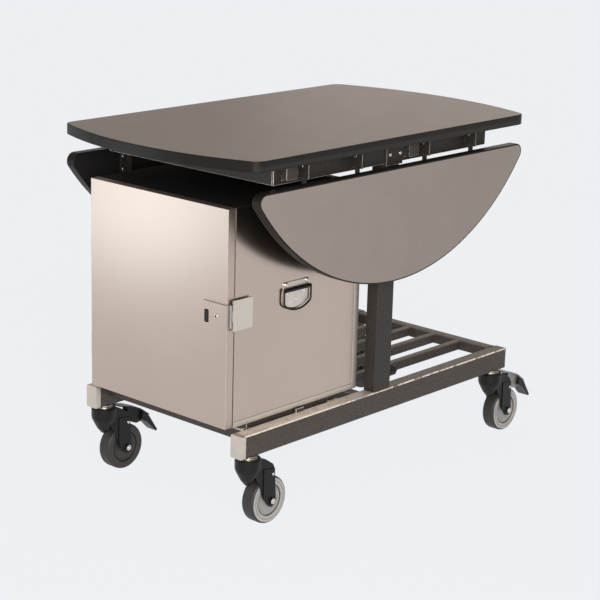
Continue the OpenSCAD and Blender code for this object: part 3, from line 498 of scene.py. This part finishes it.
def turned(axis):
    """Turns +Z onto an axis"""
    return pointing(axis).to_track_quat("Z", "Y").to_matrix().to_4x4()


def drum(bm, place, axis, r, depth, rim=0.0, segments=24):
    """A short cylinder whose base stands at a place, with its far rim rounded"""
    at = Matrix.Translation(place) @ turned(axis) @ Matrix.Translation((0, 0, depth / 2))
    made = bmesh.ops.create_cone(
        bm, cap_ends=True, segments=segments, radius1=r, radius2=r, depth=depth, matrix=at)
    if rim:
        way = pointing(axis)
        top = (Vector(place) + way * depth).dot(way)
        near = {v for v in made["verts"] if abs(v.co.dot(way) - top) < SAME_PLACE}
        rounded(bm, list({e for v in near for e in v.link_edges if near.issuperset(e.verts)}), rim, 3)


def screw(bm, place, axis, r):
    """Pan head screw with a driver recess"""
    drum(bm, place, axis, r, 0.55 * r, 0.3 * r, 20)
    recess = Vector(place) + pointing(axis) * 0.52 * r
    drum(bm, recess, axis, 0.34 * r, 0.06 * r, segments=4)


def hex_nut(bm, place, axis, r, depth):
    """Nut with the end of its bolt standing out"""
    drum(bm, place, axis, r, depth, 0.1 * r, 6)
    drum(bm, Vector(place) + pointing(axis) * depth, axis, 0.5 * r, 0.18 * r, 0.08 * r, 16)


def block(bm, middle, size):
    """A box about a middle, whose corners are returned"""
    at = Matrix.Translation(middle) @ Matrix.Diagonal((*size, 1))
    return bmesh.ops.create_cube(bm, size=1, matrix=at)["verts"]


def edges_along_x(verts):
    """The edges of a block that lie along X"""
    return list({e for v in verts for e in v.link_edges if abs(e.verts[0].co.x - e.verts[1].co.x) > 0.1 * MM})


def islands(node):
    """Lowest and highest corner of each separate solid of a node"""
    bm = merged(node)
    left, found = set(bm.verts), []
    while left:
        seed = left.pop()
        group, queue = [seed], [seed]
        while queue:
            for e in queue.pop().link_edges:
                for v in e.verts:
                    if v in left:
                        left.remove(v)
                        group.append(v)
                        queue.append(v)
        lo = Vector([min(v.co[i] for v in group) for i in range(3)])
        hi = Vector([max(v.co[i] for v in group) for i in range(3)])
        found.append((lo, hi))
    bm.free()
    return sorted(found, key=lambda b: tuple(round(c, 4) for c in b[0]))


def bridged(bm, rings):
    """Joins rings of edges, each to the next"""
    for a, b in zip(rings, rings[1:]):
        bmesh.ops.bridge_loops(bm, edges=list(set(a + b)))


def weld(bm, start, end, r):
    """A rippled bead along a straight joint"""
    start, end = Vector(start), Vector(end)
    tip, hollow, ripple = 0.45, 0.82, 1.6 * r
    way = end - start
    steps = max(3, round(way.length / ripple))
    turn = way.to_track_quat("Z", "Y").to_matrix().to_4x4()
    rings = []
    for i in range(steps + 1):
        bulge = tip if i in (0, steps) else (1.0 if i % 2 else hollow)
        at = Matrix.Translation(start + way * (i / steps)) @ turn
        ring = bmesh.ops.create_circle(bm, cap_ends=i in (0, steps), segments=8, radius=r * bulge, matrix=at)
        rings.append([e for v in ring["verts"] for e in v.link_edges])
    bridged(bm, rings)


def centre(node):
    lo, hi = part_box(node)
    return (lo + hi) / 2


# ---------------------------------------------------------------- operators


class PieceOperator(bpy.types.Operator):
    """Base of the operators that make pieces"""

    bl_options = {"REGISTER", "UNDO"}

    def execute(self, context):
        if not FINISHES:
            make_finishes(context.scene.room_table_colours)
        self.make(context.scene.room_table_sizes)
        return {"FINISHED"}


class ROOMTABLE_OT_boards(PieceOperator):
    """Adds the top and the two leaves with their edge bands"""

    bl_idname = "room_table.boards"
    bl_label = "Top and leaves"

    def make(self, sizes):
        off_panel = 0.2 * MM
        for board, under in (("top", "-Z"), ("leaf_near", "Y"), ("leaf_far", "-Y")):
            panel, band = board + "_panel", board + "_edge_band"
            down = pointing(under)
            inner = merged(panel)
            tree = BVHTree.FromBMesh(inner)
            inner.free()

            def outer(bm):
                return [e for e in sharp_edges(bm) if tree.find_nearest(e.verts[0].co)[3] > off_panel]

            # The boards' undersides take the dark sheet of painted shade
            dressed(panel, 0.15 * MM, 1, second="backer", where=lambda f: f.normal.dot(down) > 0.5)
            dressed(band, sizes.band_round, 3, outer)


class ROOMTABLE_OT_leaf_hinges(PieceOperator):
    """Adds the hinge lugs, pins and arms with the screws in the leaves"""

    bl_idname = "room_table.leaf_hinges"
    bl_label = "Leaf hinges"

    def make(self, sizes):
        dressed("hinge_lugs", sizes.plate_round, finish="shaded_paint", worn=((corner_edge, 0.9),))
        dressed("hinge_pins", 0.5 * MM)
        from_edge, foot_t, heights = 8 * MM, 2.4 * MM, (10 * MM, 38 * MM)
        for side, way in (("near", 1), ("far", -1)):
            node = "hinge_arms_" + side
            dressed(node, sizes.plate_round, finish="shaded_paint", worn=((everywhere, 0),))
            bm = bmesh.new()
            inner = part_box(f"leaf_{side}_panel")[1 if way > 0 else 0].y
            for lo, hi in islands(node):
                x = hi.x - from_edge if way > 0 else lo.x + from_edge
                for up in heights:
                    screw(bm, (x, inner + way * foot_t, lo.z + up), sideways(way), sizes.screw_r)
            finished(bm, f"leaf_{side}_screws", "leaf_" + side, "bright_zinc")


class ROOMTABLE_OT_upper_frame(PieceOperator):
    """Adds the aprons, end rails, bar guides and head plates"""

    bl_idname = "room_table.upper_frame"
    bl_label = "Upper frame"

    def make(self, sizes):
        # The frame under the top takes the darkened hammertone, painted shade
        for node in ("apron_near", "apron_far", "frame_end_rails", "bar_guides", "post_head_plates"):
            dressed(node, sizes.plate_round, finish="shaded_paint", worn=((corner_edge, 0.7),))
        bm = bmesh.new()
        guide_t, guide_end, plate_end = 3 * MM, 7 * MM, 10 * MM
        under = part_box("top_panel")[0].z - guide_t
        for lo, hi in islands("bar_guides"):
            for x in (lo.x + guide_end, hi.x - guide_end):
                screw(bm, (x, (lo.y + hi.y) / 2, under), "-Z", 0.85 * sizes.screw_r)
        for lo, hi in islands("post_head_plates"):
            y = lo.y if lo.y < 0 else hi.y
            for x in (lo.x + plate_end, hi.x - plate_end):
                screw(bm, (x, y, (lo.z + hi.z) / 2), sideways(y), sizes.screw_r)
        finished(bm, "frame_screws", "table", "bright_zinc")


class ROOMTABLE_OT_support_bars(PieceOperator):
    """Adds the four sliding bars that carry the raised leaves"""

    bl_idname = "room_table.support_bars"
    bl_label = "Support bars"

    def make(self, sizes):
        for side in ("near", "far"):
            for place in ("outer", "inner"):
                dressed(f"support_bar_{side}_{place}", sizes.tube_round, worn=((corner_edge, 0.7),))


class ROOMTABLE_OT_posts(PieceOperator):
    """Adds the two posts and their clamp knobs"""

    bl_idname = "room_table.posts"
    bl_label = "Posts and knobs"

    def make(self, sizes):
        grip, stud_r, collar, button, sunk = 24 * MM, 4 * MM, 4 * MM, 1.1 * MM, 0.8 * MM
        for side in ("near", "far"):
            # The posts take the darkened hammertone, painted shade
            dressed("post_" + side, sizes.tube_round, finish="shaded_paint")
            lo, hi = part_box("clamp_knob_" + side)
            mid = (lo + hi) / 2
            r = (hi.z - lo.z) / 2
            base = hi.x - grip
            bm = bmesh.new()
            drum(bm, (lo.x, mid.y, mid.z), "X", stud_r, base - lo.x, segments=20)
            drum(bm, (base - collar, mid.y, mid.z), "X", 0.62 * r, collar, segments=32)
            self.grip(bm, Vector((base, mid.y, mid.z)), r, grip, sizes.knob_lobes)
            knob = finished(bm, f"knob_{side}_grip", "knob_" + side, "black_plastic", 40)
            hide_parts("clamp_knob_" + side)
            bm = bmesh.new()
            drum(bm, (hi.x - sunk, mid.y, mid.z), "X", 0.36 * r, button, 0.4 * MM, 20)
            finished(bm, f"knob_{side}_stud", "knob_" + side, "bright_zinc")

    @staticmethod
    def grip(bm, base, r, depth, lobes):
        """Scalloped grip whose end draws in"""
        steps, dip = 8, 0.05
        rings = []
        for along, size in ((0, 0.9), (0.06, 1.0), (0.8, 1.0), (0.95, 0.93), (1.0, 0.8)):
            at = Matrix.Translation(base + Vector((depth * along, 0, 0))) @ turned("X")
            ring = bmesh.ops.create_circle(
                bm, cap_ends=along in (0, 1.0), segments=steps * lobes, radius=r, matrix=at)
            for i, v in enumerate(ring["verts"]):
                share = size * (1 - dip * (1 - math.cos(2 * math.pi * i / steps)))
                v.co.y = base.y + (v.co.y - base.y) * share
                v.co.z = base.z + (v.co.z - base.z) * share
            rings.append([e for v in ring["verts"] for e in v.link_edges])
        bridged(bm, rings)
        bmesh.ops.recalc_face_normals(bm, faces=bm.faces)


class ROOMTABLE_OT_base(PieceOperator):
    """Adds the rails with their caps, the cross tubes, the slats and the weld beads"""

    bl_idname = "room_table.base"
    bl_label = "Base frame"

    def make(self, sizes):
        rising, level = 0.2, 0.95
        # Rails: top faces paler, upper roundings paler and bare in patches
        rail_marks = (lambda f: f.normal.z > level, 0.5), (lambda f: rising < f.normal.z <= level, 0.95)
        for node in ("rail_near", "rail_far"):
            dressed(node, sizes.tube_round, worn=rail_marks)
        for node in ("cross_tubes", "rack_slats"):
            dressed(node, sizes.tube_round, worn=((everywhere, 0), (lambda f: f.normal.z > rising, 0.42)))
        dressed("box_supports", sizes.plate_round)
        self.caps("left", "bright_zinc", "dull_zinc")
        self.caps("right", "hammertone", "shaded_paint")
        self.beads(sizes.bead_r)
        self.strips()

    def caps(self, side, slot, finish):
        """The end caps of both rails at one end of the base"""
        middle = centre("rail_near").x
        bm = merged("rail_end_caps")
        other = [v for v in bm.verts if (v.co.x < middle) != (side == "left")]
        bmesh.ops.delete(bm, geom=other, context="VERTS")
        soften(bm, 1.6 * MM, 4)
        if side == "left":
            self.sleeves(bm)
        caps = finished(bm, "rail_caps_" + side, "table", slot, finish=finish)
        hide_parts("rail_end_caps")

    @staticmethod
    def sleeves(bm):
        """Thin cups of the caps that fit over the rails' ends"""
        depth, inside, proud, corner = 9 * MM, 4 * MM, 0.6 * MM, 3.2 * MM
        for side in ("near", "far"):
            lo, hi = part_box("rail_" + side)
            middle = (lo.x + inside, (lo.y + hi.y) / 2, (lo.z + hi.z) / 2)
            made = block(bm, middle, (depth, hi.y - lo.y + proud, hi.z - lo.z + proud))
            rounded(bm, edges_along_x(made), corner, 4)

    @staticmethod
    def beads(r):
        """Weld beads on the cross tubes' ends, on the slats' corners and at the posts' feet"""
        bm = bmesh.new()
        low, gap, post_gap = 4 * MM, 2 * MM, 3 * MM
        rail_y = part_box("cross_tubes")[1].y
        for lo, hi in islands("cross_tubes"):
            for y in (-rail_y, rail_y):
                for x in (lo.x, hi.x):
                    weld(bm, (x, y, lo.z + low), (x, y, hi.z - gap), r)
                weld(bm, (lo.x + gap, y, hi.z), (hi.x - gap, y, hi.z), 0.6 * r)
        for lo, hi in islands("rack_slats"):
            for x in (lo.x, hi.x):
                for y in (lo.y, hi.y):
                    weld(bm, (x, y, lo.z + gap), (x, y, hi.z - gap), r)
        for side in ("near", "far"):
            lo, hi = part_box("post_" + side)
            for x in (lo.x, hi.x):
                weld(bm, (x, lo.y + post_gap, lo.z), (x, hi.y - post_gap, lo.z), r)
        finished(bm, "weld_beads", "table", "hammertone")

    @staticmethod
    def strips():
        """Bars under the hot box, inside the rails, from the left cross tube to the stop tabs"""
        thick, tall, aside, half_tube, behind_tab = 3 * MM, 23 * MM, 4 * MM, 13 * MM, 88 * MM
        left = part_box("cross_tubes")[0].x + half_tube
        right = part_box("box_wrapper")[1].x - behind_tab
        inner, foot = abs(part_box("rail_near")[1].y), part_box("box_base_pan")[0].z
        bm = bmesh.new()
        for s in (-1, 1):
            middle = ((left + right) / 2, s * (inner - aside), foot - tall / 2)
            block(bm, middle, (right - left, thick, tall))
        soften(bm, 0.5 * MM)
        finished(bm, "box_locating_strips", "table", "hammertone", finish="shaded_paint")


class ROOMTABLE_OT_casters(PieceOperator):
    """Adds the caster housings, stems, axle nuts and brake pedals"""

    bl_idname = "room_table.casters"
    bl_label = "Casters"

    TRAIL = 48 * MM

    def make(self, sizes):
        dressed("caster_stems", 0.8 * MM)
        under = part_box("rail_near")[0].z
        races = bmesh.new()
        for corner in CORNERS:
            axle = centre("caster_wheel_" + corner)
            stem = Vector((axle.x - self.TRAIL, axle.y, under))
            self.housing(corner, stem)
            drum(races, stem, "-Z", r=18 * MM, depth=1.5 * MM, rim=0.4 * MM, segments=48)
            self.fixings(corner, stem, axle)
        finished(races, "caster_races", "table", "bright_zinc")
        self.pedal("fr", "grey_metal")
        self.pedal("bl", "black_plastic")

    @staticmethod
    def housing(corner, stem):
        """The fork, with a painted highlight along the left edges of its cheeks"""
        crease_from, crease_to, top = 20 * MM, 46 * MM, -30 * MM

        def crease_highlight(face):
            out = face.calc_center_median() - stem
            return corner_edge(face) and crease_from < out.x < crease_to and out.z < top

        # The creases of the cheeks take a painted highlight
        dressed("caster_fork_" + corner, 1.2 * MM, 3, worn=((everywhere, 0), (crease_highlight, 1)))

    @staticmethod
    def fixings(corner, stem, axle):
        """The ring on the swivel head, the axle's nuts and washers, and the ends of the pedal's pin"""
        head_gap, cheek, washer_t = 4.9 * MM, 22 * MM, 0.9 * MM
        pin_x, pin_z = 2 * MM, 57 * MM
        bm = bmesh.new()
        washers = bmesh.new()
        drum(bm, stem - Vector((0, 0, head_gap)), "Z", r=20 * MM, depth=1.8 * MM, rim=0.6 * MM, segments=48)
        for s in (-1, 1):
            out = sideways(s)
            washer = axle + Vector((0, s * cheek, 0))
            drum(washers, washer, out, r=9.4 * MM, depth=washer_t, rim=0.3 * MM, segments=28)
            nut = axle + Vector((0, s * (cheek + washer_t), 0))
            hex_nut(bm, nut, out, r=6.8 * MM, depth=4.2 * MM)
            pin = axle + Vector((pin_x, s * cheek, pin_z))
            drum(bm, pin, out, r=3.4 * MM, depth=2.0 * MM, rim=0.9 * MM, segments=20)
        finished(bm, f"caster_{corner}_fixings", "swivel_" + corner, "bright_zinc")
        finished(washers, f"caster_{corner}_washers", "swivel_" + corner, "black_plastic")

    def pedal(self, corner, finish):
        """The brake pedal, whose black foot lies under the end of its sloping plate"""
        stem = centre("caster_wheel_" + corner) - Vector((self.TRAIL, 0, 0))
        foot_from, plate_x, plate_z, fall = 97 * MM, 93.5 * MM, 73.8 * MM, 0.728

        def wedge(face):
            out = face.calc_center_median() - stem
            return out.x > foot_from and out.z < plate_z - fall * (out.x - plate_x)

        dressed("brake_pedal_" + corner, 0.8 * MM, slot="grey_metal", finish=finish, second="black_plastic",
                where=wedge)


class ROOMTABLE_OT_wheels(PieceOperator):
    """Adds the wheels: a tyre with round shoulders on a dished hub"""

    bl_idname = "room_table.wheels"
    bl_label = "Wheels"

    # Half outlines, in shares of the wheel's radius and of half its width
    TYRE = ((0.665, 0.86), (0.68, 0.96), (0.72, 1), (0.79, 1), (0.80, 0.97), (0.815, 1), (0.925, 0.98),
            (0.965, 0.90), (0.99, 0.78), (1, 0.62), (1, 0.2))
    DISH = ((0.22, 0.93), (0.25, 0.78), (0.50, 0.72), (0.56, 0.84), (0.61, 0.86), (0.63, 0.7), (0.67, 0.68))

    def make(self, sizes):
        for corner in CORNERS:
            node = "caster_wheel_" + corner
            lo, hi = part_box(node)
            mid = (lo + hi) / 2
            r = (hi.x - lo.x) / 2
            boss = (hi.y - lo.y) / 2
            half = boss - 1 * MM
            tyre = [(out * r, side * half) for out, side in self.TYRE]
            hub = [(0.083 * r, boss), (0.20 * r, boss)] + [(out * r, side * half) for out, side in self.DISH]
            body = "wheel_" + corner
            bm = self.spun(mid, sizes.wheel_steps, tyre)
            self.darken(bm, mid, r)
            finish = "grey_tyre" if corner[0] == "f" else "dark_tyre"
            tyre = finished(bm, body + "_tyre", body, "grey_tyre", 50, finish=finish)
            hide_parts(node)
            bm = self.spun(mid, sizes.wheel_steps, hub)
            zone = bm.faces.layers.float.new("tread")
            for face in bm.faces:
                face[zone] = 0.22
            hub = finished(bm, body + "_hub", body, "grey_tyre", 40, finish=finish)
            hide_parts(node)

    @staticmethod
    def darken(bm, mid, r):
        """Marks the running face as tread, and puts painted shade in part on the groove and the inner rim"""
        running, groove, inner_rim = 0.943, (0.79, 0.808), 0.69
        zone = bm.faces.layers.float.new("tread")
        for face in bm.faces:
            out = face.calc_center_median() - mid
            reach = math.hypot(out.x, out.z) / r
            # Painted shade in the groove and at the inner rim
            shaded_recess = reach < inner_rim or groove[0] < reach < groove[1]
            face[zone] = 1.0 if reach > running else 0.7 if shaded_recess else 0.0

    @staticmethod
    def spun(mid, steps, half_outline):
        """Spins a closed outline round the axle: points of radius and side, mirrored to the other side"""
        outline = half_outline + [(x, -y) for x, y in reversed(half_outline)]
        bm = bmesh.new()
        verts = [bm.verts.new(mid + Vector((x, y, 0))) for x, y in outline]
        edges = [bm.edges.new((a, b)) for a, b in zip(verts, verts[1:] + verts[:1])]
        bmesh.ops.spin(bm, geom=verts + edges, cent=mid, axis=(0, 1, 0), angle=2 * math.pi, steps=steps,
                       use_merge=True, use_duplicate=False)
        bmesh.ops.remove_doubles(bm, verts=bm.verts, dist=SAME_PLACE)
        bmesh.ops.recalc_face_normals(bm, faces=bm.faces)
        return bm


class ROOMTABLE_OT_hot_box(PieceOperator):
    """Adds the hot box's casing, liner, insulation and feet"""

    bl_idname = "room_table.hot_box"
    bl_label = "Hot box"

    def make(self, sizes):
        lo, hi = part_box("box_wrapper")

        def dark(face):
            """Whether a face takes painted shade: the outside of the roof, or the edge that the door shuts on
            """
            mid = face.calc_center_median()
            roof = face.normal.z > 0.7 and mid.z > hi.z - MM
            return roof or (face.normal.x < -0.5 and mid.x < lo.x + MM)

        # The roof and the edge that the door shuts on take the dark sheet of painted shade
        dressed("box_wrapper", 0.4 * MM, second="backer", where=dark)
        dressed("box_back_panel", 0.5 * MM, finish="polished")
        dressed("box_base_pan", 0.5 * MM, finish="polished")
        dressed("box_liner", 0.5 * MM)
        dressed("box_insulation", 1.5 * MM)
        dressed("box_feet", 1.5 * MM, 3)


class ROOMTABLE_OT_shelves(PieceOperator):
    """Adds the runners, wire shelves and fuel tray inside the hot box"""

    bl_idname = "room_table.shelves"
    bl_label = "Shelves"

    def make(self, sizes):
        dressed("shelf_runners", 0.4 * MM)
        NODES["wire_shelves"].data.materials.clear()
        NODES["wire_shelves"].data.materials.append(FINISHES["bright_wire"])
        dressed("fuel_tray", 0.5 * MM)


class ROOMTABLE_OT_door(PieceOperator):
    """Adds the door with its folded skin, gasket and hinges"""

    bl_idname = "room_table.door"
    bl_label = "Door"

    def make(self, sizes):
        lo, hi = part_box("door_skin")
        touching = 0.01 * MM

        def outer_faces(v):
            """How many of the skin's outer faces a corner lies on"""
            gaps = v.co.x - lo.x, abs(v.co.y) - hi.y, min(abs(v.co.z - lo.z), abs(v.co.z - hi.z))
            return sum(abs(gap) < touching for gap in gaps)

        def folds(bm):
            return [e for e in sharp_edges(bm) if all(outer_faces(v) >= 2 for v in e.verts)]

        dressed("door_skin", sizes.fold_round, 4, folds, finish="door_steel")
        dressed("door_inner_panel", 0.4 * MM)
        dressed("door_gasket", 0.5 * MM)
        for node in ("door_hinge_leaves", "box_hinge_leaves"):
            dressed(node, 0.5 * MM)


class ROOMTABLE_OT_latch(PieceOperator):
    """Adds the latch plate with its rivet, the flap and the keeper"""

    bl_idname = "room_table.latch"
    bl_label = "Latch"

    def make(self, sizes):
        lo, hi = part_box("latch_plate")
        pin = Vector((lo.x + 9.5 * MM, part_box("box_wrapper")[0].y - 4.5 * MM, 0))
        knuckle_r = 4.8 * MM

        def knuckle(face):
            out = face.calc_center_median() - pin
            return math.hypot(out.x, out.y) < knuckle_r

        dressed("latch_plate", 0.5 * MM, finish="door_steel", second="grey_metal", where=knuckle)
        dressed("latch_flap", 1.0 * MM, 3, finish="polished", second="grey_metal", where=knuckle)
        dressed("latch_keeper", 0.5 * MM)
        rivet_y, rivet_z, head = hi.y - 36 * MM, hi.z - 27 * MM, 1.2 * MM
        bm = bmesh.new()
        drum(bm, (lo.x, rivet_y, rivet_z), "-X", r=4.6 * MM, depth=1.3 * MM, rim=0.9 * MM)
        finished(bm, "latch_rivet", "door", "stainless", finish="polished")
        # The dark disc in the rivet is painted shade for its hollow
        bm = bmesh.new()
        drum(bm, (lo.x - head, rivet_y, rivet_z), "-X", r=2.3 * MM, depth=0.3 * MM, segments=20)
        finished(bm, "latch_rivet_shade", "door", "black_rubber", finish="handle_rod")
        middle = (lo.x + 0.2 * MM, hi.y - 10 * MM, hi.z - 31 * MM)
        self.slot("latch_slot_rim", "polished", middle, (0.72 * MM, 13.6 * MM, 28.6 * MM))
        # The dark slab is painted shade for the inside of the slot
        self.slot("latch_slot_shade", "handle_rod", middle, (1.2 * MM, 12 * MM, 27 * MM))

    @staticmethod
    def slot(name, finish, middle, size):
        """A slot with round corners in the plate, drawn as a thin slab"""
        bm = bmesh.new()
        rounded(bm, edges_along_x(block(bm, middle, size)), 2.4 * MM, 4)
        finished(bm, name, "door", "stainless", finish=finish)


class ROOMTABLE_OT_handles(PieceOperator):
    """Adds the carrying handles of the hot box with their bolts"""

    bl_idname = "room_table.handles"
    bl_label = "Handles"

    def make(self, sizes):
        plate_t, raised = 2 * MM, 0.5 * MM
        wall = abs(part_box("box_wrapper")[0].y) + plate_t
        dressed("bail_plates", 0.4 * MM, second="handle_rod",
                where=lambda f: abs(f.calc_center_median().y) > wall + raised)
        bm = bmesh.new()
        # Each bolt's distances from the plate's middle and top in mm, and its share of a screw's radius
        upper, lower, middle = (31, -5, 1.2), (25, -26, 0.6), (0, -38, 0.5)
        for lo, hi in islands("bail_plates"):
            s = -1 if lo.y < 0 else 1
            x = (lo.x + hi.x) / 2
            for aside, up, share in (upper, lower, middle):
                for way in (-1, 1) if aside else (-1,):
                    place = (x + way * aside * MM, s * wall, hi.z + up * MM)
                    screw(bm, place, sideways(s), share * sizes.screw_r)
        finished(bm, "handle_bolts", "table", "bright_zinc")
        for side in ("near", "far"):
            self.bail(side)

    @staticmethod
    def bail(side):
        """The swinging grip: a round bar bent into a D"""
        lo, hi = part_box("bail_" + side)
        r = (hi.y - lo.y) / 2
        mid = (lo + hi) / 2
        pivot, arm, bend, slack = hi.z - r, 24 * MM, 10 * MM, 2.5 * MM
        half = (hi.x - lo.x) / 2 - r - slack
        drop = pivot - lo.z - r
        sag, reach = drop - arm, half - bend
        grip = (reach**2 + sag**2 - bend**2) / (2 * (sag - bend))
        turn = math.asin(reach / (grip - bend))
        bm = bmesh.new()
        start = Matrix.Translation((mid.x + half, mid.y, pivot))
        ring = bmesh.ops.create_circle(bm, cap_ends=False, segments=16, radius=r, matrix=start)
        edges = list({e for v in ring["verts"] for e in v.link_edges})

        def straight(edges, depth):
            made = bmesh.ops.extrude_edge_only(bm, edges=edges)["geom"]
            verts = [g for g in made if isinstance(g, bmesh.types.BMVert)]
            bmesh.ops.translate(bm, verts=verts, vec=(0, 0, depth))
            return [g for g in made if isinstance(g, bmesh.types.BMEdge) and all(v in verts for v in g.verts)]

        def bent(edges, x, z, angle, steps):
            geom = edges + list({v for e in edges for v in e.verts})
            made = bmesh.ops.spin(bm, geom=geom, cent=(x, mid.y, z), axis=(0, 1, 0), angle=angle, steps=steps)
            return [g for g in made["geom_last"] if isinstance(g, bmesh.types.BMEdge)]

        edges = straight(edges, -arm)
        edges = bent(edges, mid.x + reach, pivot - arm, math.pi / 2 - turn, 8)
        edges = bent(edges, mid.x, pivot - drop + grip, 2 * turn, 24)
        edges = bent(edges, mid.x - reach, pivot - arm, math.pi / 2 - turn, 8)
        straight(edges, arm)
        bmesh.ops.holes_fill(bm, edges=bm.edges, sides=0)
        drum(bm, (mid.x - half - 0.4 * r, mid.y, pivot), "X", r, 2 * half + 0.8 * r, segments=20)
        bmesh.ops.recalc_face_normals(bm, faces=bm.faces)
        bar = finished(bm, f"bail_{side}_bar", "handle_" + side, "handle_rod")
        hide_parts("bail_" + side)


class ROOMTABLE_OT_stage(bpy.types.Operator):
    """Adds the pale floor with its low round backdrop, the soft studio lights and the camera"""

    bl_idname = "room_table.stage"
    bl_label = "Floor, lights and camera"

    CAMERA_PLACE = (-2.830, -2.490, 1.398)
    CAMERA_AZIMUTH = math.radians(48.32)
    CAMERA_FALL = math.radians(15.56)
    CAMERA_ROLL = math.radians(1.62)
    SHIFT_X, SHIFT_Y = -0.0042, 0.0007

    def execute(self, context):
        stage = context.scene.room_table_stage
        self.floor(context, stage)
        self.lights(context, stage)
        self.camera(context, stage.focal)
        context.scene.view_settings.view_transform = "Standard"
        return {"FINISHED"}

    @staticmethod
    def floor(context, stage):
        """A glowing floor, on which shadows are faint, with the low round wall that low views look at"""
        half, wall_r, wall_h = 30, 29, 6
        glow = Finish("stage_floor", shade(stage.floor, 1 - stage.glow), 0.9, Specular_IOR_Level=0.0,
                      Emission_Color=(*stage.floor, 1), Emission_Strength=stage.glow)
        bm = bmesh.new()
        bmesh.ops.create_grid(bm, x_segments=1, y_segments=1, size=half)
        bmesh.ops.create_cone(bm, cap_ends=False, segments=96, radius1=wall_r, radius2=wall_r, depth=wall_h,
                              matrix=Matrix.Translation((0, 0, wall_h / 2)))
        mesh = bpy.data.meshes.new("stage_floor")
        bm.to_mesh(mesh)
        bm.free()
        mesh.materials.append(glow.mat)
        floor = bpy.data.objects.new("stage_floor", mesh)
        context.scene.collection.objects.link(floor)

    def lights(self, context, stage):
        """Soft light all round, a wide sun, a near lamp, and cards that the steel and the top mirror"""
        world = bpy.data.worlds.new("studio")
        world.use_nodes = True
        sky = world.node_tree.nodes["Background"]
        sky.inputs["Color"].default_value = (*stage.sky, 1)
        sky.inputs["Strength"].default_value = stage.world
        context.scene.world = world
        sun = bpy.data.lights.new("key_light", "SUN")
        sun.energy = stage.key
        sun.angle = math.radians(40)
        self.aimed(context, sun, place=(-2.9, -3.2, 1.6), aim=(0, 0, 0.4))
        self.lamp(context, "near_light", 1.0, stage.near, place=(-1.6, -1.5, 0.85), aim=(0, -0.2, 0.4))
        self.lamp(context, "door_card", 0.44, stage.card, place=(-1.0, 0.52, 0.52), aim=(-0.47, 0.0, 0.6),
                  mirrored=(0.86, 1, 1.1))
        self.lamp(context, "top_card", 1.6, stage.sheen, place=(2.2, 1.2, 1.15), aim=(0.3, 0.1, 0.76),
                  mirrored=stage.sky)

    def lamp(self, context, name, size, power, place, aim, mirrored=None):
        """Adds a round lamp; one with a colour for mirrored is seen only in reflections"""
        light = bpy.data.lights.new(name, "AREA")
        light.shape = "DISK"
        light.size = size
        light.energy = power
        if mirrored is not None:
            light.color = mirrored
            light.diffuse_factor = 0.0
        self.aimed(context, light, place, aim)

    @staticmethod
    def aimed(context, light, place, aim):
        """Puts a light at a place, turned to a point of the table"""
        obj = bpy.data.objects.new(light.name, light)
        way = Vector(aim) - Vector(place)
        obj.matrix_world = Matrix.Translation(place) @ way.to_track_quat("-Z", "Y").to_matrix().to_4x4()
        obj.visible_camera = False
        context.scene.collection.objects.link(obj)

    def camera(self, context, focal):
        """A camera at the photo's viewpoint"""
        az, fall, roll = self.CAMERA_AZIMUTH, self.CAMERA_FALL, self.CAMERA_ROLL
        forward = Vector((math.sin(az) * math.cos(fall), math.cos(az) * math.cos(fall), -math.sin(fall)))
        right = Vector((math.cos(az), -math.sin(az), 0))
        up = right.cross(forward)
        across = math.cos(roll) * right + math.sin(roll) * up
        upward = -math.sin(roll) * right + math.cos(roll) * up
        lens = bpy.data.cameras.new("camera")
        lens.sensor_width = 36
        lens.lens = focal
        lens.shift_x = self.SHIFT_X
        lens.shift_y = self.SHIFT_Y
        camera = bpy.data.objects.new("camera", lens)
        turn = Matrix((across, upward, -forward)).transposed().to_4x4()
        camera.matrix_world = Matrix.Translation(self.CAMERA_PLACE) @ turn
        context.scene.collection.objects.link(camera)
        context.scene.camera = camera


PIECES = (
    ROOMTABLE_OT_boards,
    ROOMTABLE_OT_leaf_hinges,
    ROOMTABLE_OT_upper_frame,
    ROOMTABLE_OT_support_bars,
    ROOMTABLE_OT_posts,
    ROOMTABLE_OT_base,
    ROOMTABLE_OT_casters,
    ROOMTABLE_OT_wheels,
    ROOMTABLE_OT_hot_box,
    ROOMTABLE_OT_shelves,
    ROOMTABLE_OT_door,
    ROOMTABLE_OT_latch,
    ROOMTABLE_OT_handles,
    ROOMTABLE_OT_stage,
)


class ROOMTABLE_PT_panel(bpy.types.Panel):
    """Lists the table's pieces and settings"""

    bl_idname = "ROOMTABLE_PT_panel"
    bl_label = "Room Service Table"
    bl_space_type = "VIEW_3D"
    bl_region_type = "UI"
    bl_category = "Room Table"

    def draw(self, context):
        scene = context.scene
        for group in (scene.room_table_colours, scene.room_table_sizes, scene.room_table_stage):
            box = self.layout.box()
            for name in group.__annotations__:
                box.prop(group, name)
        for piece in PIECES:
            self.layout.operator(piece.bl_idname)


GROUPS = {
    "room_table_colours": RoomTableColours,
    "room_table_sizes": RoomTableSizes,
    "room_table_stage": RoomTableStage,
}


def register():
    for name, group in GROUPS.items():
        bpy.utils.register_class(group)
        setattr(bpy.types.Scene, name, PointerProperty(type=group))
    for cls in (*PIECES, ROOMTABLE_PT_panel):
        bpy.utils.register_class(cls)


def unregister():
    for cls in (ROOMTABLE_PT_panel, *reversed(PIECES)):
        bpy.utils.unregister_class(cls)
    for name, group in GROUPS.items():
        delattr(bpy.types.Scene, name)
        bpy.utils.unregister_class(group)


def main():
    register()
    for piece in PIECES:
        group, name = piece.bl_idname.split(".")
        getattr(getattr(bpy.ops, group), name)()


if __name__ == "__main__":
    main()
